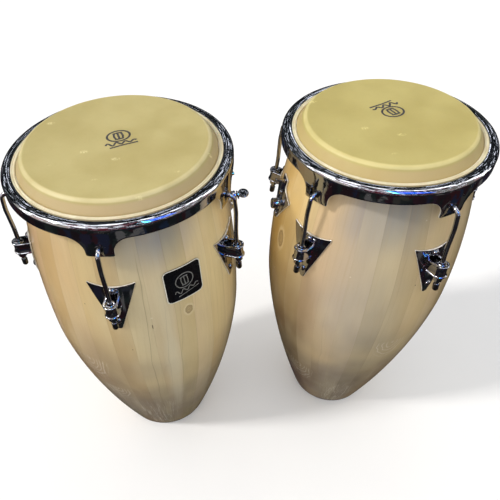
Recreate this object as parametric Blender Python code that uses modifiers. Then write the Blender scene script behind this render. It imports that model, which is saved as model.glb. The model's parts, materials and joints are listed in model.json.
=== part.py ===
"""Pair of tunable conga drums, a 12 inch conga beside an 11 inch quinto.

Units are metres, +Z is up, and the floor is z = 0. The row of drums runs along X and
their playing side faces -Y. Each drum hangs on an empty on its own axis; an azimuth
is counted round that axis from -Y towards +X.
"""
import math

import bmesh
import bpy
from mathutils import Matrix, Vector

INCH = 0.0254
GAP = 0.0003                 # clearance kept between two solids that touch
OVERLAP = 0.0010             # how far a shape reaches into the one it is joined to

# The pair
DRUM_SPACING = 0.413
CONGA_X = -0.20315           # puts the pair's box centre on x = 0
ROW_Y = 0.00728              # puts the pair's box centre on y = 0

# Heights shared by both drums
HEAD_TOP = 28 * INCH
RIM_HEIGHT = 0.689           # centre line of the rim's rounded shoulder
HOOK_HEIGHT = 0.655          # axis of the holes in the rim's ears
STRAP_HEIGHT = 0.549         # middle of each lug strap
SHELL_WALL = 0.0110
SHELL_HEIGHTS = (0.69, 0.66, 0.62, 0.57, 0.51, 0.43, 0.34, 0.24, 0.14, 0.06, 0.0)
INSIDE_HEIGHTS = (0.0, 0.18, 0.36, 0.486, 0.54, 0.60, 0.66)
SHORTEST_STEP = 0.0020       # between two heights of the shell's outside
LOWER_SWEEP = 1.57           # exponent of the shell's curve from base to belly
UPPER_SWEEP = 2.28           # exponent of the shell's curve from belly to head

# Head
SKIN = 0.0022
FLAT_INSET = 0.0348          # rim radius less the radius where the flat head ends
BEARING_CREST = 0.0035       # width of the shell's top edge inside the flat head's end
CREST_FALL = 0.0030
EDGE_ROUND = 0.009           # rounding of the head over the shell's bearing edge
COLLAR_SLOPE = math.radians(59)
COLLAR_INSET = 0.0180        # rim radius less the radius at the collar's foot
SKIN_TUCK = 0.007            # how far the skin runs down behind the hoop
HOOP_INSET = 0.0140
HOOP_RISE = 0.0010
HOOP_WIRE = 0.0035

# Rim, measured from its shoulder line
RIM_OVERHANG = 0.017         # head radius to shoulder radius
RIM_METAL = 0.0022
SHOULDER_IN = 0.0015
SHOULDER_ROUND = 0.0060
SHOULDER_DROP = 0.0010
FLANGE_INSET = 0.0107
FLANGE_RISE = 0.0040
FLANGE_METAL = 0.00165
SKIRT_DEPTH = 0.0170
EAR_DEPTH = 0.0480
EAR_HALF_WIDTH = 0.0195
EAR_CORNER = 0.0030
EAR_FILLET = 0.0240

# Tuning hooks and nuts
LUGS = 5
LUG_STEP = math.tau / LUGS
ROD = 0.0035
HOOK_TIP = 0.0065            # reach of the hook through the ear
HOOK_TIP_BEND = 0.0045
ROD_HOLE = 0.0047
HOOK_BEND = 0.0085
HOOK_REACH = 0.0115           # hole to rod axis, where the rod starts down
ROD_BOW = ((0.030, 0.0), (0.052, 0.0014), (0.074, 0.0030))  # height above the strap, bow outwards
ROD_STANDOFF = 0.020         # rod axis to shell at the strap
ROD_BELOW_STRAP = 0.0420     # strap middle to the foot of the rod's end cap
FLANGE_HEIGHT = 0.0016
FLANGE_RADIUS = 0.0086
NUT_FLATS = 0.0127
NUT_HEIGHT = 0.0100
CAP_RADIUS = 0.0048
CAP_LENGTH = 0.0130
CAP_ROUND = 0.0025
CAP_END = 0.6                # size of the cap's end against its body

# Lug plate: a triangle with a hollow top edge, bent round the shell
PLATE_METAL = 0.0020
PLATE_LIFT = 0.0006
PLATE_HALF_WIDTH = 0.0365
PLATE_TOP = 0.5815
PLATE_MIDDLE = 0.5500
PLATE_TIP = 0.4860
PLATE_HOLLOW = 0.0060        # sag of the top edge at its middle
PLATE_TIP_ROUND = 0.0050
STRAP_RADIUS = 0.0102
STRAP_METAL = 0.0026
STRAP_HALF_HEIGHT = 0.0110
STRAP_FLARE = 0.0010
STRAP_FLARE_HEIGHT = 0.0025
SLEEVE_BITE = 0.0008         # how far the sleeve is sunk in the strap's wall
BOLT_HEIGHTS = (0.5675, 0.5060)
BOLT_SHANK = 0.0028
BOLT_HOLE = 0.0036
BOLT_HEAD = 0.0055
BOLT_CROWN = 0.0040
BOLT_DOME = 0.0032
INNER_NUT = 0.0060
INNER_NUT_HEIGHT = 0.0045
BACKING_GAP = 0.0018
BACKING_METAL = 0.0025
BACKING_HALF_WIDTH = 0.0075
BACKING_MARGIN = 0.0100      # strip beyond the middle of its last bolt

# Stand bracket, half-way between two lugs
BRACKET_TOP = 0.6200
BRACKET_SHOULDER = 0.5900
BRACKET_TIP = 0.5380
BRACKET_MIDDLE = 0.5780
BRACKET_NECK = 0.0110
BRACKET_NECK_FOOT = 0.6040
BRACKET_TIP_ROUND = 0.0060
BRACKET_HALF_WIDTH = 0.0365
BRACKET_METAL = 0.0025
BRACKET_BOLTS = (0.5895, 0.5455)
SOCKET_HEIGHT = 0.5660
SOCKET_RADIUS = 0.0090
SOCKET_LENGTH = 0.0120
PEG_HEIGHT = 0.6120
PEG_RADIUS = 0.0030
PEG_LENGTH = 0.0160
SCREW_RADIUS = 0.0034
SCREW_HOLE = 0.0042
SCREW_COLLAR = 0.0075
SCREW_COLLAR_HEIGHT = 0.0018
SCREW_START = 0.0030         # screw's end to the face of the bracket's plate
SCREW_NECK = 0.0045
CLAMP_SPACE = 0.0028         # room for a stand's arm under the collar
WING_LENGTH = 0.0190
WING_HALF_WIDTH = 0.0120
WING_METAL = 0.0030
WING_SIDES = 14

# Badge
BADGE_SIZE = 0.0610
BADGE_CORNER = 0.0080
BADGE_METAL = 0.0009
BADGE_HEIGHT = 0.5523
BADGE_TURN = math.radians(0.8)

SEGMENTS = 32                # round the drum
WIDEST_STEP = 0.019          # of the outline of a sheet that is bent round the shell
TALLEST_STEP = 0.033
ROD_SIDES = 8


class Drum:
    """The driving sizes of one drum."""

    def __init__(self, name, x, head_inches, base, belly, belly_height, top, first_lug, bracket):
        self.name = name
        self.x = x
        self.rim = head_inches / 2 * INCH + RIM_OVERHANG
        self.base = base
        self.belly = belly
        self.belly_height = belly_height
        self.top = top
        self.first_lug = math.radians(first_lug)
        self.bracket = math.radians(bracket)
        self.empty = None

    def body_radius(self, z):
        """Radius of the barrel-shaped body, before its bearing edge is rounded."""
        crest = HEAD_TOP - SKIN - GAP
        if z < self.belly_height:
            part = (self.belly_height - z) / self.belly_height
            return self.belly - (self.belly - self.base) * part ** LOWER_SWEEP
        part = min((z - self.belly_height) / (crest - self.belly_height), 1.0)
        return self.belly - (self.belly - self.top) * part ** UPPER_SWEEP

    def lug_azimuth(self, number):
        return self.first_lug + number * LUG_STEP


CONGA = Drum("conga", CONGA_X, 12, 0.0963, 0.1773, 0.389, 0.1430, -9.0, 99.0)
QUINTO = Drum("quinto", CONGA_X + DRUM_SPACING, 11, 0.0850, 0.1685, 0.412, 0.1262, 18.5, -89.5)


# ---------------------------------------------------------------- scene helpers

def clear_scene():
    for old in list(bpy.data.objects):
        bpy.data.objects.remove(old, do_unlink=True)


def new_collection(name):
    collection = bpy.data.collections.new(name)
    bpy.context.scene.collection.children.link(collection)
    return collection


def material(name, colour, roughness, metallic=0.0):
    made = bpy.data.materials.new(name)
    made.use_nodes = True
    shader = made.node_tree.nodes["Principled BSDF"]
    shader.inputs["Base Color"].default_value = (*colour, 1.0)
    shader.inputs["Roughness"].default_value = roughness
    shader.inputs["Metallic"].default_value = metallic
    made.diffuse_color = (*colour, 1.0)
    return made


def place(obj, drum, finish, matrix=None):
    """Hangs an object on its drum's empty and gives it its material."""
    PARTS.objects.link(obj)
    obj.parent = drum.empty
    obj.matrix_local = matrix or Matrix.Identity(4)
    if not obj.data.materials:
        obj.data.materials.append(finish)
    return obj


def object_from(name, bm, sharp=35):
    """Makes an object of a bmesh, with its normals out and its round faces smooth."""
    bmesh.ops.recalc_face_normals(bm, faces=bm.faces)
    mesh = bpy.data.meshes.new(name)
    bm.to_mesh(mesh)
    bm.free()
    mesh.shade_smooth()
    mesh.set_sharp_from_angle(angle=math.radians(sharp))
    return bpy.data.objects.new(name, mesh)


def baked(obj):
    """The mesh that an object's modifiers make, in a new mesh with welded seams."""
    bpy.context.scene.collection.objects.link(obj)
    view = bpy.context.evaluated_depsgraph_get()
    mesh = bpy.data.meshes.new_from_object(obj.evaluated_get(view))
    bm = bmesh.new()
    bm.from_mesh(mesh)
    bmesh.ops.remove_doubles(bm, verts=bm.verts, dist=0.00001)
    bm.to_mesh(mesh)
    bm.free()
    bpy.data.objects.remove(obj)
    return mesh


def turn(azimuth):
    return Matrix.Rotation(azimuth, 4, "Z")


# ---------------------------------------------------------------- shape helpers

def turned(name, profile, closed, segments=SEGMENTS):
    """A profile of (radius, height) points, outer side first, spun by a Screw modifier."""
    bm = bmesh.new()
    points = [bm.verts.new((radius, 0.0, height)) for radius, height in profile]
    for first, second in zip(points, points[1:]):
        bm.edges.new((first, second))
    if closed:
        bm.edges.new((points[-1], points[0]))
    mesh = bpy.data.meshes.new(name)
    bm.to_mesh(mesh)
    bm.free()
    obj = bpy.data.objects.new(name, mesh)
    screw = obj.modifiers.new("Turn", "SCREW")
    screw.angle = math.tau
    screw.axis = "Z"
    screw.steps = segments
    screw.render_steps = segments
    screw.use_merge_vertices = True
    screw.merge_threshold = 0.00001
    screw.use_smooth_shade = True
    return obj


def arc(centre_x, centre_y, radius, start, end, steps):
    """Points along an arc, with its angles in degrees."""
    turns = [math.radians(start + (end - start) * n / steps) for n in range(steps + 1)]
    return [(centre_x + radius * math.cos(a), centre_y + radius * math.sin(a)) for a in turns]


def loft(bm, loops, closed_path=False):
    """Joins each loop of points to the next; an open path gets its end caps."""
    rings = [[bm.verts.new(point) for point in loop] for loop in loops]
    count = len(rings[0])
    pairs = list(zip(rings, rings[1:]))
    if closed_path:
        pairs.append((rings[-1], rings[0]))
    for low, high in pairs:
        for n in range(count):
            after = (n + 1) % count
            bm.faces.new((low[n], low[after], high[after], high[n]))
    if not closed_path:
        bm.faces.new(rings[0])
        bm.faces.new(rings[-1])


def finer(outline):
    """A closed outline with its long sides divided, so that they can bend."""
    points = []
    for first, second in zip(outline, outline[1:] + outline[:1]):
        parts = math.ceil(max(abs(second[0] - first[0]) / WIDEST_STEP,
                              abs(second[1] - first[1]) / TALLEST_STEP))
        points += [(first[0] + (second[0] - first[0]) * n / parts,
                    first[1] + (second[1] - first[1]) * n / parts) for n in range(parts)]
    return points


def shell_patch(drum, outline, middle, metal, rings=2):
    """A sheet cut to an outline of (across, height) points and bent round the shell.

    The outline is repeated at smaller sizes about its middle height, so that the
    sheet follows the shell's curve inside its edge too.
    """
    outline = finer(outline)
    lift = PLATE_LIFT

    def bent(across, height, rise):
        radius = drum.body_radius(height) + rise
        angle = across / (drum.body_radius(height) + lift)
        return Vector((radius * math.sin(angle), -radius * math.cos(angle), height))

    loops = []
    for rise, sizes in ((lift, range(1, rings + 1)), (lift + metal, range(rings, 0, -1))):
        for size in sizes:
            part = size / rings
            loops.append([bent(x * part, middle + (z - middle) * part, rise) for x, z in outline])
    bm = bmesh.new()
    faces = [bm.verts.new(bent(0.0, middle, rise)) for rise in (lift, lift + metal)]
    loft(bm, loops)
    bm.verts.ensure_lookup_table()
    caps = [face for face in bm.faces if len(face.verts) == len(outline)]
    for cap, centre in zip(caps, faces):
        corners = list(cap.verts)
        bm.faces.remove(cap)
        for first, second in zip(corners, corners[1:] + corners[:1]):
            bm.faces.new((first, second, centre))
    return bm


def cylinder(bm, radius, length, matrix, sides, top_radius=None):
    """A closed cylinder or cone from z = 0 to z = length, moved by a matrix."""
    top_radius = radius if top_radius is None else top_radius
    made = bmesh.ops.create_cone(bm, cap_ends=True, segments=sides, radius1=radius,
                                 radius2=top_radius, depth=length,
                                 matrix=matrix @ Matrix.Translation((0, 0, length / 2)))
    return made["verts"]


def off_shell(drum, height, rise, azimuth=0.0):
    """A frame on a drum's side whose own +Z is the shell's outward normal there."""
    step = 0.001
    fall = drum.body_radius(height - step) - drum.body_radius(height + step)
    tilt = math.pi / 2 - math.atan2(fall, 2 * step)
    return (turn(azimuth) @ Matrix.Translation((0, -drum.body_radius(height), height))
            @ Matrix.Rotation(tilt, 4, "X") @ Matrix.Translation((0, 0, rise)))


def outward(height, radius, azimuth):
    """A level frame at a drum's azimuth whose own +Z points straight out of the drum."""
    return turn(azimuth) @ Matrix.Translation((0, -radius, height)) @ Matrix.Rotation(
        math.pi / 2, 4, "X")


def union(obj, other):
    join = obj.modifiers.new("Join", "BOOLEAN")
    join.operation = "UNION"
    join.object = other


def cut(obj, cutter):
    hole = obj.modifiers.new("Cut", "BOOLEAN")
    hole.operation = "DIFFERENCE"
    hole.object = cutter


def tool(obj, drum=None):
    """Puts a cutter, or a shape to be joined, in the collection of hidden tools."""
    TOOLS.objects.link(obj)
    obj.parent = drum.empty if drum else None
    obj.hide_render = True
    obj.display_type = "WIRE"
    return obj


# ---------------------------------------------------------------- shell and head

def collar(drum, offset):
    """The head's outer line from its flat to its collar's foot, moved inwards by offset."""
    centre = (drum.rim - FLAT_INSET, HEAD_TOP - EDGE_ROUND)
    end = 90 - math.degrees(COLLAR_SLOPE)
    line = arc(*centre, EDGE_ROUND - offset, 90, end, 3)
    foot_radius = drum.rim - COLLAR_INSET
    edge_radius, edge_height = arc(*centre, EDGE_ROUND, end, end, 1)[0]
    foot_height = edge_height - (foot_radius - edge_radius) * math.tan(COLLAR_SLOPE)
    line.append((foot_radius - offset * math.sin(COLLAR_SLOPE),
                 foot_height - offset * math.cos(COLLAR_SLOPE)))
    return line


def shell_profile(drum):
    """Closed outline of the wooden wall: bearing edge, outside, base, inside."""
    edge = [(r, z) for r, z in collar(drum, SKIN + GAP) if r < drum.body_radius(z) - GAP]
    lowest = edge[-1][1]
    outside = [(drum.body_radius(z), z) for z in SHELL_HEIGHTS if z < lowest - SHORTEST_STEP]
    inside = [(drum.body_radius(z) - SHELL_WALL, z) for z in INSIDE_HEIGHTS]
    inside.append((edge[0][0] - BEARING_CREST, edge[0][1] - CREST_FALL))
    return edge + outside + inside


def bolt_places(drum):
    """(azimuth, height) of every bolt in a shell."""
    places = [(drum.lug_azimuth(n), z) for n in range(LUGS) for z in BOLT_HEIGHTS]
    return places + [(drum.bracket, z) for z in BRACKET_BOLTS]


def make_shell(drum, finish):
    shell = turned(f"{drum.name}_shell", shell_profile(drum), closed=True)
    bm = bmesh.new()
    for azimuth, height in bolt_places(drum):
        frame = off_shell(drum, height, -2 * SHELL_WALL, azimuth)
        cylinder(bm, BOLT_HOLE, 3 * SHELL_WALL, frame, 6)
    drills = tool(object_from(f"{drum.name}_shell_drills", bm), drum)
    cut(shell, drills)
    place(shell, drum, finish)


def make_head(drum, finish):
    foot = RIM_HEIGHT - SKIN_TUCK

    def tucked(rise):
        return (drum.body_radius(foot) + GAP + rise, foot)

    outside = [(0.0, HEAD_TOP)] + collar(drum, 0.0) + [tucked(SKIN)]
    inner_line = collar(drum, SKIN)
    inside = [tucked(0.0)] + inner_line[::-1] + [(0.0, HEAD_TOP - SKIN)]
    place(turned(f"{drum.name}_head", outside + inside, closed=False), drum, finish)


def make_flesh_hoop(drum, finish):
    ring = arc(drum.rim - HOOP_INSET, RIM_HEIGHT + HOOP_RISE, HOOP_WIRE, 90, -210, 5)
    place(turned(f"{drum.name}_flesh_hoop", ring, closed=True), drum, finish)


# ---------------------------------------------------------------- rim with its ears

def skirt_bottom(across):
    """Depth of the rim's lower edge at a distance round the rim from an ear's middle."""
    side = EAR_HALF_WIDTH
    if across <= side:
        corner = max(across - (side - EAR_CORNER), 0.0)
        lift = EAR_CORNER - math.sqrt(EAR_CORNER ** 2 - corner ** 2)
        return -EAR_DEPTH + lift
    if across >= side + EAR_FILLET:
        return -SKIRT_DEPTH
    reach = side + EAR_FILLET - across
    return -SKIRT_DEPTH - EAR_FILLET + math.sqrt(EAR_FILLET ** 2 - reach ** 2)


def rim_section(drum, azimuth, bottom):
    """One cross-section of the rim, from its inner flange over the shoulder to the skirt."""
    centre = -SHOULDER_IN
    under = SHOULDER_ROUND - RIM_METAL
    line = [(-FLANGE_INSET, FLANGE_RISE), (-FLANGE_INSET, FLANGE_RISE + FLANGE_METAL)]
    line += arc(centre, -SHOULDER_DROP, SHOULDER_ROUND, 105, 0, 3)
    line += [(centre + SHOULDER_ROUND, bottom), (centre + under, bottom)]
    line += arc(centre, -SHOULDER_DROP, under, 0, 105, 1)
    points = []
    for radial, height in line:
        radius = drum.rim + radial
        points.append((radius * math.sin(azimuth), -radius * math.cos(azimuth),
                       RIM_HEIGHT + height))
    return points


def make_rim(drum, finish):
    side = EAR_HALF_WIDTH
    steps = [0.0, side - EAR_CORNER, side, side + GAP]
    steps += [side + EAR_FILLET * part for part in (0.25, 1.0)]
    steps = [(across / drum.rim, skirt_bottom(across)) for across in steps]
    quarter = (steps[-1][0] + LUG_STEP / 2) / 2
    steps += [(quarter, -SKIRT_DEPTH), (LUG_STEP / 2, -SKIRT_DEPTH)]
    sections = []
    for number in range(LUGS):
        middle = drum.lug_azimuth(number)
        before = [(middle - angle, bottom) for angle, bottom in reversed(steps[1:-1])]
        after = [(middle + angle, bottom) for angle, bottom in steps]
        sections += [rim_section(drum, *step) for step in before + after]
    bm = bmesh.new()
    loft(bm, sections, closed_path=True)
    rim = object_from(f"{drum.name}_rim", bm)
    bm = bmesh.new()
    for number in range(LUGS):
        frame = outward(HOOK_HEIGHT, drum.rim - SHOULDER_ROUND, drum.lug_azimuth(number))
        cylinder(bm, ROD_HOLE, 3 * SHOULDER_ROUND, frame, ROD_SIDES)
    cut(rim, tool(object_from(f"{drum.name}_rim_drills", bm), drum))
    place(rim, drum, finish)


# ---------------------------------------------------------------- tuning hardware

def rod_frame(drum):
    """Frame at azimuth 0 with its origin on the rod at the strap and +Z up the rod."""
    foot = drum.body_radius(STRAP_HEIGHT) + ROD_STANDOFF
    head = drum.rim - SHOULDER_IN + SHOULDER_ROUND + HOOK_BEND
    lean = math.atan2(foot - head, HOOK_HEIGHT - HOOK_BEND - STRAP_HEIGHT)
    return Matrix.Translation((0, -foot, STRAP_HEIGHT)) @ Matrix.Rotation(-lean, 4, "X")


def make_hook(drum, number, finish):
    """A capped rod that leans and bows out above the strap, then bends in through the ear's hole."""
    frame = rod_frame(drum)
    thick = CAP_RADIUS / ROD
    lowest = -ROD_BELOW_STRAP
    cap_top = lowest + CAP_LENGTH
    rod = [(lowest, 0.0, CAP_END * thick), (lowest + CAP_ROUND, 0.0, thick), (cap_top, 0.0, thick),
           (cap_top + GAP, 0.0, 1.0)]
    rod += [(up, bow, 1.0) for up, bow in ROD_BOW]
    path = [(frame @ Vector((0, -bow, up)), size) for up, bow, size in rod]
    wall = drum.rim - SHOULDER_IN + SHOULDER_ROUND
    bend = arc(0, HOOK_HEIGHT - HOOK_BEND, HOOK_BEND, 180, 90, 3)
    bend = [(y * HOOK_REACH / HOOK_BEND - wall, z) for y, z in bend]
    tip = arc(HOOK_TIP - wall, HOOK_HEIGHT + HOOK_TIP_BEND, HOOK_TIP_BEND, 270, 360, 2)
    path += [(Vector((0, y, z)), 1.0) for y, z in bend + tip]
    curve = bpy.data.curves.new("hook", "CURVE")
    curve.dimensions = "3D"
    curve.bevel_depth = ROD
    curve.bevel_resolution = 2
    curve.use_fill_caps = True
    spline = curve.splines.new("POLY")
    spline.points.add(len(path) - 1)
    for point, (place_at, size) in zip(spline.points, path):
        point.co = (*place_at, 1)
        point.radius = size
    mesh = baked(bpy.data.objects.new("hook", curve))
    mesh.shade_smooth()
    mesh.set_sharp_from_angle(angle=math.radians(50))
    hook = bpy.data.objects.new(f"{drum.name}_hook_{number + 1}", mesh)
    place(hook, drum, finish, turn(drum.lug_azimuth(number)))


def strap_outline(flare):
    """The strap from above: two legs back to the plate and a round front."""
    back = ROD_STANDOFF - PLATE_LIFT - PLATE_METAL * 0.5
    outer = STRAP_RADIUS + flare
    inner = STRAP_RADIUS - STRAP_METAL
    front = arc(0, 0, outer, 180, 360, 5)
    hollow = arc(0, 0, inner, 360, 180, 5)
    return [(-outer, back)] + front + [(outer, back), (inner, back)] + hollow + [(-inner, back)]


def make_lug_plate_mesh(drum):
    """Side plate with its strap and rod sleeve, at azimuth 0, as one welded piece."""
    top = [(PLATE_HALF_WIDTH * t, PLATE_TOP - PLATE_HOLLOW * (1 - t * t))
           for t in (1.0, 0.5, 0.0, -0.5, -1.0)]
    tip = arc(0, PLATE_TIP + PLATE_TIP_ROUND, PLATE_TIP_ROUND, 200, 340, 3)
    plate = object_from("plate", shell_patch(drum, top + tip, PLATE_MIDDLE, PLATE_METAL))
    frame = rod_frame(drum)
    half = STRAP_HALF_HEIGHT
    levels = [(-half, STRAP_FLARE), (STRAP_FLARE_HEIGHT - half, 0.0),
              (half - STRAP_FLARE_HEIGHT, 0.0), (half, STRAP_FLARE)]
    bm = bmesh.new()
    loft(bm, [[frame @ Vector((x, y, z)) for x, y in strap_outline(flare)]
              for z, flare in levels])
    strap = tool(object_from(f"{drum.name}_strap", bm))
    bm = bmesh.new()
    sleeve_radius = STRAP_RADIUS - STRAP_METAL + SLEEVE_BITE
    cylinder(bm, sleeve_radius, 2 * (half - GAP), frame @ Matrix.Translation((0, 0, GAP - half)), 10)
    sleeve = tool(object_from(f"{drum.name}_sleeve", bm))
    bm = bmesh.new()
    cylinder(bm, ROD_HOLE, 6 * half, frame @ Matrix.Translation((0, 0, -3 * half)), ROD_SIDES)
    for height in BOLT_HEIGHTS:
        cylinder(bm, BOLT_HOLE, 2 * SHELL_WALL, off_shell(drum, height, -SHELL_WALL), 6)
    drills = tool(object_from(f"{drum.name}_plate_drills", bm))
    union(plate, strap)
    union(plate, sleeve)
    cut(plate, drills)
    return baked(plate)


def make_nut_mesh():
    """Hex nut with a washer flange on top, standing on z = 0, with its hole through it."""
    bm = bmesh.new()
    cylinder(bm, NUT_FLATS / 2 / math.cos(math.radians(30)), NUT_HEIGHT - FLANGE_HEIGHT / 2,
             Matrix.Identity(4), 6)
    nut = object_from("nut", bm)
    bm = bmesh.new()
    cylinder(bm, FLANGE_RADIUS, FLANGE_HEIGHT,
             Matrix.Translation((0, 0, NUT_HEIGHT - FLANGE_HEIGHT)), 12)
    flange = tool(object_from("nut_flange", bm))
    bm = bmesh.new()
    cylinder(bm, ROD_HOLE, 3 * NUT_HEIGHT, Matrix.Translation((0, 0, -NUT_HEIGHT)), ROD_SIDES)
    drill = tool(object_from("nut_drill", bm))
    union(nut, flange)
    cut(nut, drill)
    return baked(nut)


def make_tuning(drum, chrome, steel):
    plate_mesh = make_lug_plate_mesh(drum)
    nut_mesh = make_nut_mesh()
    nut_frame = rod_frame(drum) @ Matrix.Translation(
        (0, 0, -STRAP_HALF_HEIGHT - GAP - NUT_HEIGHT))
    for number in range(LUGS):
        round_drum = turn(drum.lug_azimuth(number))
        plate = bpy.data.objects.new(f"{drum.name}_lug_plate_{number + 1}", plate_mesh)
        place(plate, drum, chrome, round_drum)
        nut = bpy.data.objects.new(f"{drum.name}_nut_{number + 1}", nut_mesh)
        place(nut, drum, steel, round_drum @ nut_frame)
        make_hook(drum, number, steel)


# ---------------------------------------------------------------- fasteners of the shell

def make_fixing_mesh(drum, heights, metal):
    """A strip inside the shell with the bolts and nuts that clamp a plate outside."""
    low = min(heights) - BACKING_MARGIN
    high = max(heights) + BACKING_MARGIN
    loops = []
    for step in range(3):
        height = low + (high - low) * step / 2
        wall = -(drum.body_radius(height) - SHELL_WALL - BACKING_GAP)
        corners = ((-1, 0), (1, 0), (1, 1), (-1, 1))
        loops.append([(x * BACKING_HALF_WIDTH, wall + y * BACKING_METAL, height)
                      for x, y in corners])
    bm = bmesh.new()
    loft(bm, loops)
    strip = object_from("strip", bm)
    for height in heights:
        depth = SHELL_WALL + BACKING_GAP + BACKING_METAL * 0.5 + INNER_NUT_HEIGHT
        length = depth + PLATE_LIFT + metal + GAP
        tail = off_shell(drum, height, -depth)
        profile = [(INNER_NUT, 0.0), (INNER_NUT, INNER_NUT_HEIGHT),
                   (BOLT_SHANK, INNER_NUT_HEIGHT), (BOLT_SHANK, length),
                   (BOLT_HEAD, length), (BOLT_CROWN, length + BOLT_DOME)]
        angles = [math.radians(60 * n) for n in range(6)]
        bm = bmesh.new()
        loft(bm, [[tail @ Vector((radius * math.cos(a), radius * math.sin(a), rise))
                   for a in angles] for radius, rise in profile])
        union(strip, tool(object_from(f"{drum.name}_bolt", bm)))
    return baked(strip)


def make_fixings(drum, steel):
    mesh = make_fixing_mesh(drum, BOLT_HEIGHTS, PLATE_METAL)
    for number in range(LUGS):
        fixing = bpy.data.objects.new(f"{drum.name}_lug_fixing_{number + 1}", mesh)
        place(fixing, drum, steel, turn(drum.lug_azimuth(number)))
    mesh = make_fixing_mesh(drum, BRACKET_BOLTS, BRACKET_METAL)
    fixing = bpy.data.objects.new(f"{drum.name}_bracket_fixing", mesh)
    place(fixing, drum, steel, turn(drum.bracket))


# ---------------------------------------------------------------- stand bracket

def make_stand_bracket(drum, chrome):
    right = [(BRACKET_NECK, BRACKET_TOP), (BRACKET_NECK, BRACKET_NECK_FOOT),
             (BRACKET_HALF_WIDTH, BRACKET_SHOULDER)]
    left = [(-x, z) for x, z in reversed(right)]
    tip = arc(0, BRACKET_TIP + BRACKET_TIP_ROUND, BRACKET_TIP_ROUND, 340, 200, 3)
    outline = right + tip + left
    plate = object_from("bracket", shell_patch(drum, outline, BRACKET_MIDDLE, BRACKET_METAL))
    face = PLATE_LIFT + BRACKET_METAL
    bm = bmesh.new()
    cylinder(bm, SOCKET_RADIUS, SOCKET_LENGTH + OVERLAP,
             off_shell(drum, SOCKET_HEIGHT, face - OVERLAP), 12)
    cylinder(bm, PEG_RADIUS, PEG_LENGTH + OVERLAP, off_shell(drum, PEG_HEIGHT, face - OVERLAP), 8)
    bosses = tool(object_from(f"{drum.name}_bosses", bm))
    bm = bmesh.new()
    cylinder(bm, SCREW_HOLE, SOCKET_LENGTH, off_shell(drum, SOCKET_HEIGHT, face + SCREW_START / 2),
             ROD_SIDES)
    for height in BRACKET_BOLTS:
        cylinder(bm, BOLT_HOLE, 2 * SHELL_WALL, off_shell(drum, height, -SHELL_WALL), 6)
    drills = tool(object_from(f"{drum.name}_bracket_drills", bm))
    union(plate, bosses)
    cut(plate, drills)
    bracket = bpy.data.objects.new(f"{drum.name}_stand_bracket", baked(plate))
    place(bracket, drum, chrome, turn(drum.bracket))


def make_stand_screw(drum, steel):
    """Thumb screw with an oval wing, on its own axis."""
    collar_at = SOCKET_LENGTH + CLAMP_SPACE
    wing_at = collar_at + SCREW_COLLAR_HEIGHT
    neck_top = wing_at + SCREW_NECK
    profile = [(0.0, neck_top), (SCREW_NECK, neck_top), (SCREW_NECK, wing_at),
               (SCREW_COLLAR, wing_at), (SCREW_COLLAR, collar_at), (SCREW_RADIUS, collar_at),
               (SCREW_RADIUS, SCREW_START), (0.0, SCREW_START)]
    spindle = turned("screw", profile, closed=False, segments=10)
    half = WING_LENGTH / 2
    middle = wing_at + OVERLAP + half
    edge = [(WING_HALF_WIDTH * math.cos(a), middle + half * math.sin(a))
            for a in (math.tau * n / WING_SIDES for n in range(WING_SIDES))]
    bm = bmesh.new()
    loft(bm, [[(x, y, z) for x, z in edge] for y in (-WING_METAL / 2, WING_METAL / 2)])
    union(spindle, tool(object_from(f"{drum.name}_wing", bm)))
    screw = bpy.data.objects.new(f"{drum.name}_stand_screw", baked(spindle))
    face = PLATE_LIFT + BRACKET_METAL
    place(screw, drum, steel, off_shell(drum, SOCKET_HEIGHT, face, drum.bracket))


# ---------------------------------------------------------------- badge

def make_badge(drum, finish):
    """Rounded square plate half-way between the first two lugs."""
    reach = BADGE_SIZE / 2 - BADGE_CORNER
    outline = []
    for quarter, (x, z) in enumerate(((1, 1), (-1, 1), (-1, -1), (1, -1))):
        outline += arc(x * reach, BADGE_HEIGHT + z * reach, BADGE_CORNER,
                       90 * quarter, 90 * quarter + 90, 2)
    sheet = shell_patch(drum, outline, BADGE_HEIGHT, BADGE_METAL)
    badge = object_from(f"{drum.name}_badge", sheet)
    place(badge, drum, finish, turn(drum.first_lug + LUG_STEP / 2 + BADGE_TURN))


# ---------------------------------------------------------------- the pair

def make_drum(drum, finishes):
    drum.empty = bpy.data.objects.new(f"{drum.name}_axis", None)
    PARTS.objects.link(drum.empty)
    drum.empty.location = (drum.x, ROW_Y, 0.0)
    bpy.context.view_layer.update()
    make_shell(drum, finishes["wood"])
    make_head(drum, finishes["skin"])
    make_flesh_hoop(drum, finishes["skin"])
    make_rim(drum, finishes["chrome"])
    make_tuning(drum, finishes["chrome"], finishes["steel"])
    make_fixings(drum, finishes["steel"])
    make_stand_bracket(drum, finishes["chrome"])


clear_scene()
PARTS = new_collection("conga_drums")
TOOLS = new_collection("cutting_tools")
FINISHES = {
    "wood": material("ash_wood", (0.66, 0.52, 0.33), 0.25),
    "skin": material("rawhide", (0.64, 0.55, 0.30), 0.55),
    "chrome": material("chrome", (0.55, 0.56, 0.58), 0.08, 1.0),
    "steel": material("plated_steel", (0.45, 0.45, 0.46), 0.18, 1.0),
    "badge": material("badge_enamel", (0.015, 0.015, 0.017), 0.2),
}
for DRUM in (CONGA, QUINTO):
    make_drum(DRUM, FINISHES)
make_stand_screw(CONGA, FINISHES["steel"])
make_badge(CONGA, FINISHES["badge"])
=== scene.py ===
import json
from math import atan2, ceil, cos, degrees, hypot, pi, radians, sin, sqrt, tan, tau

import bmesh
import bpy
from mathutils import Matrix, Vector, noise


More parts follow.
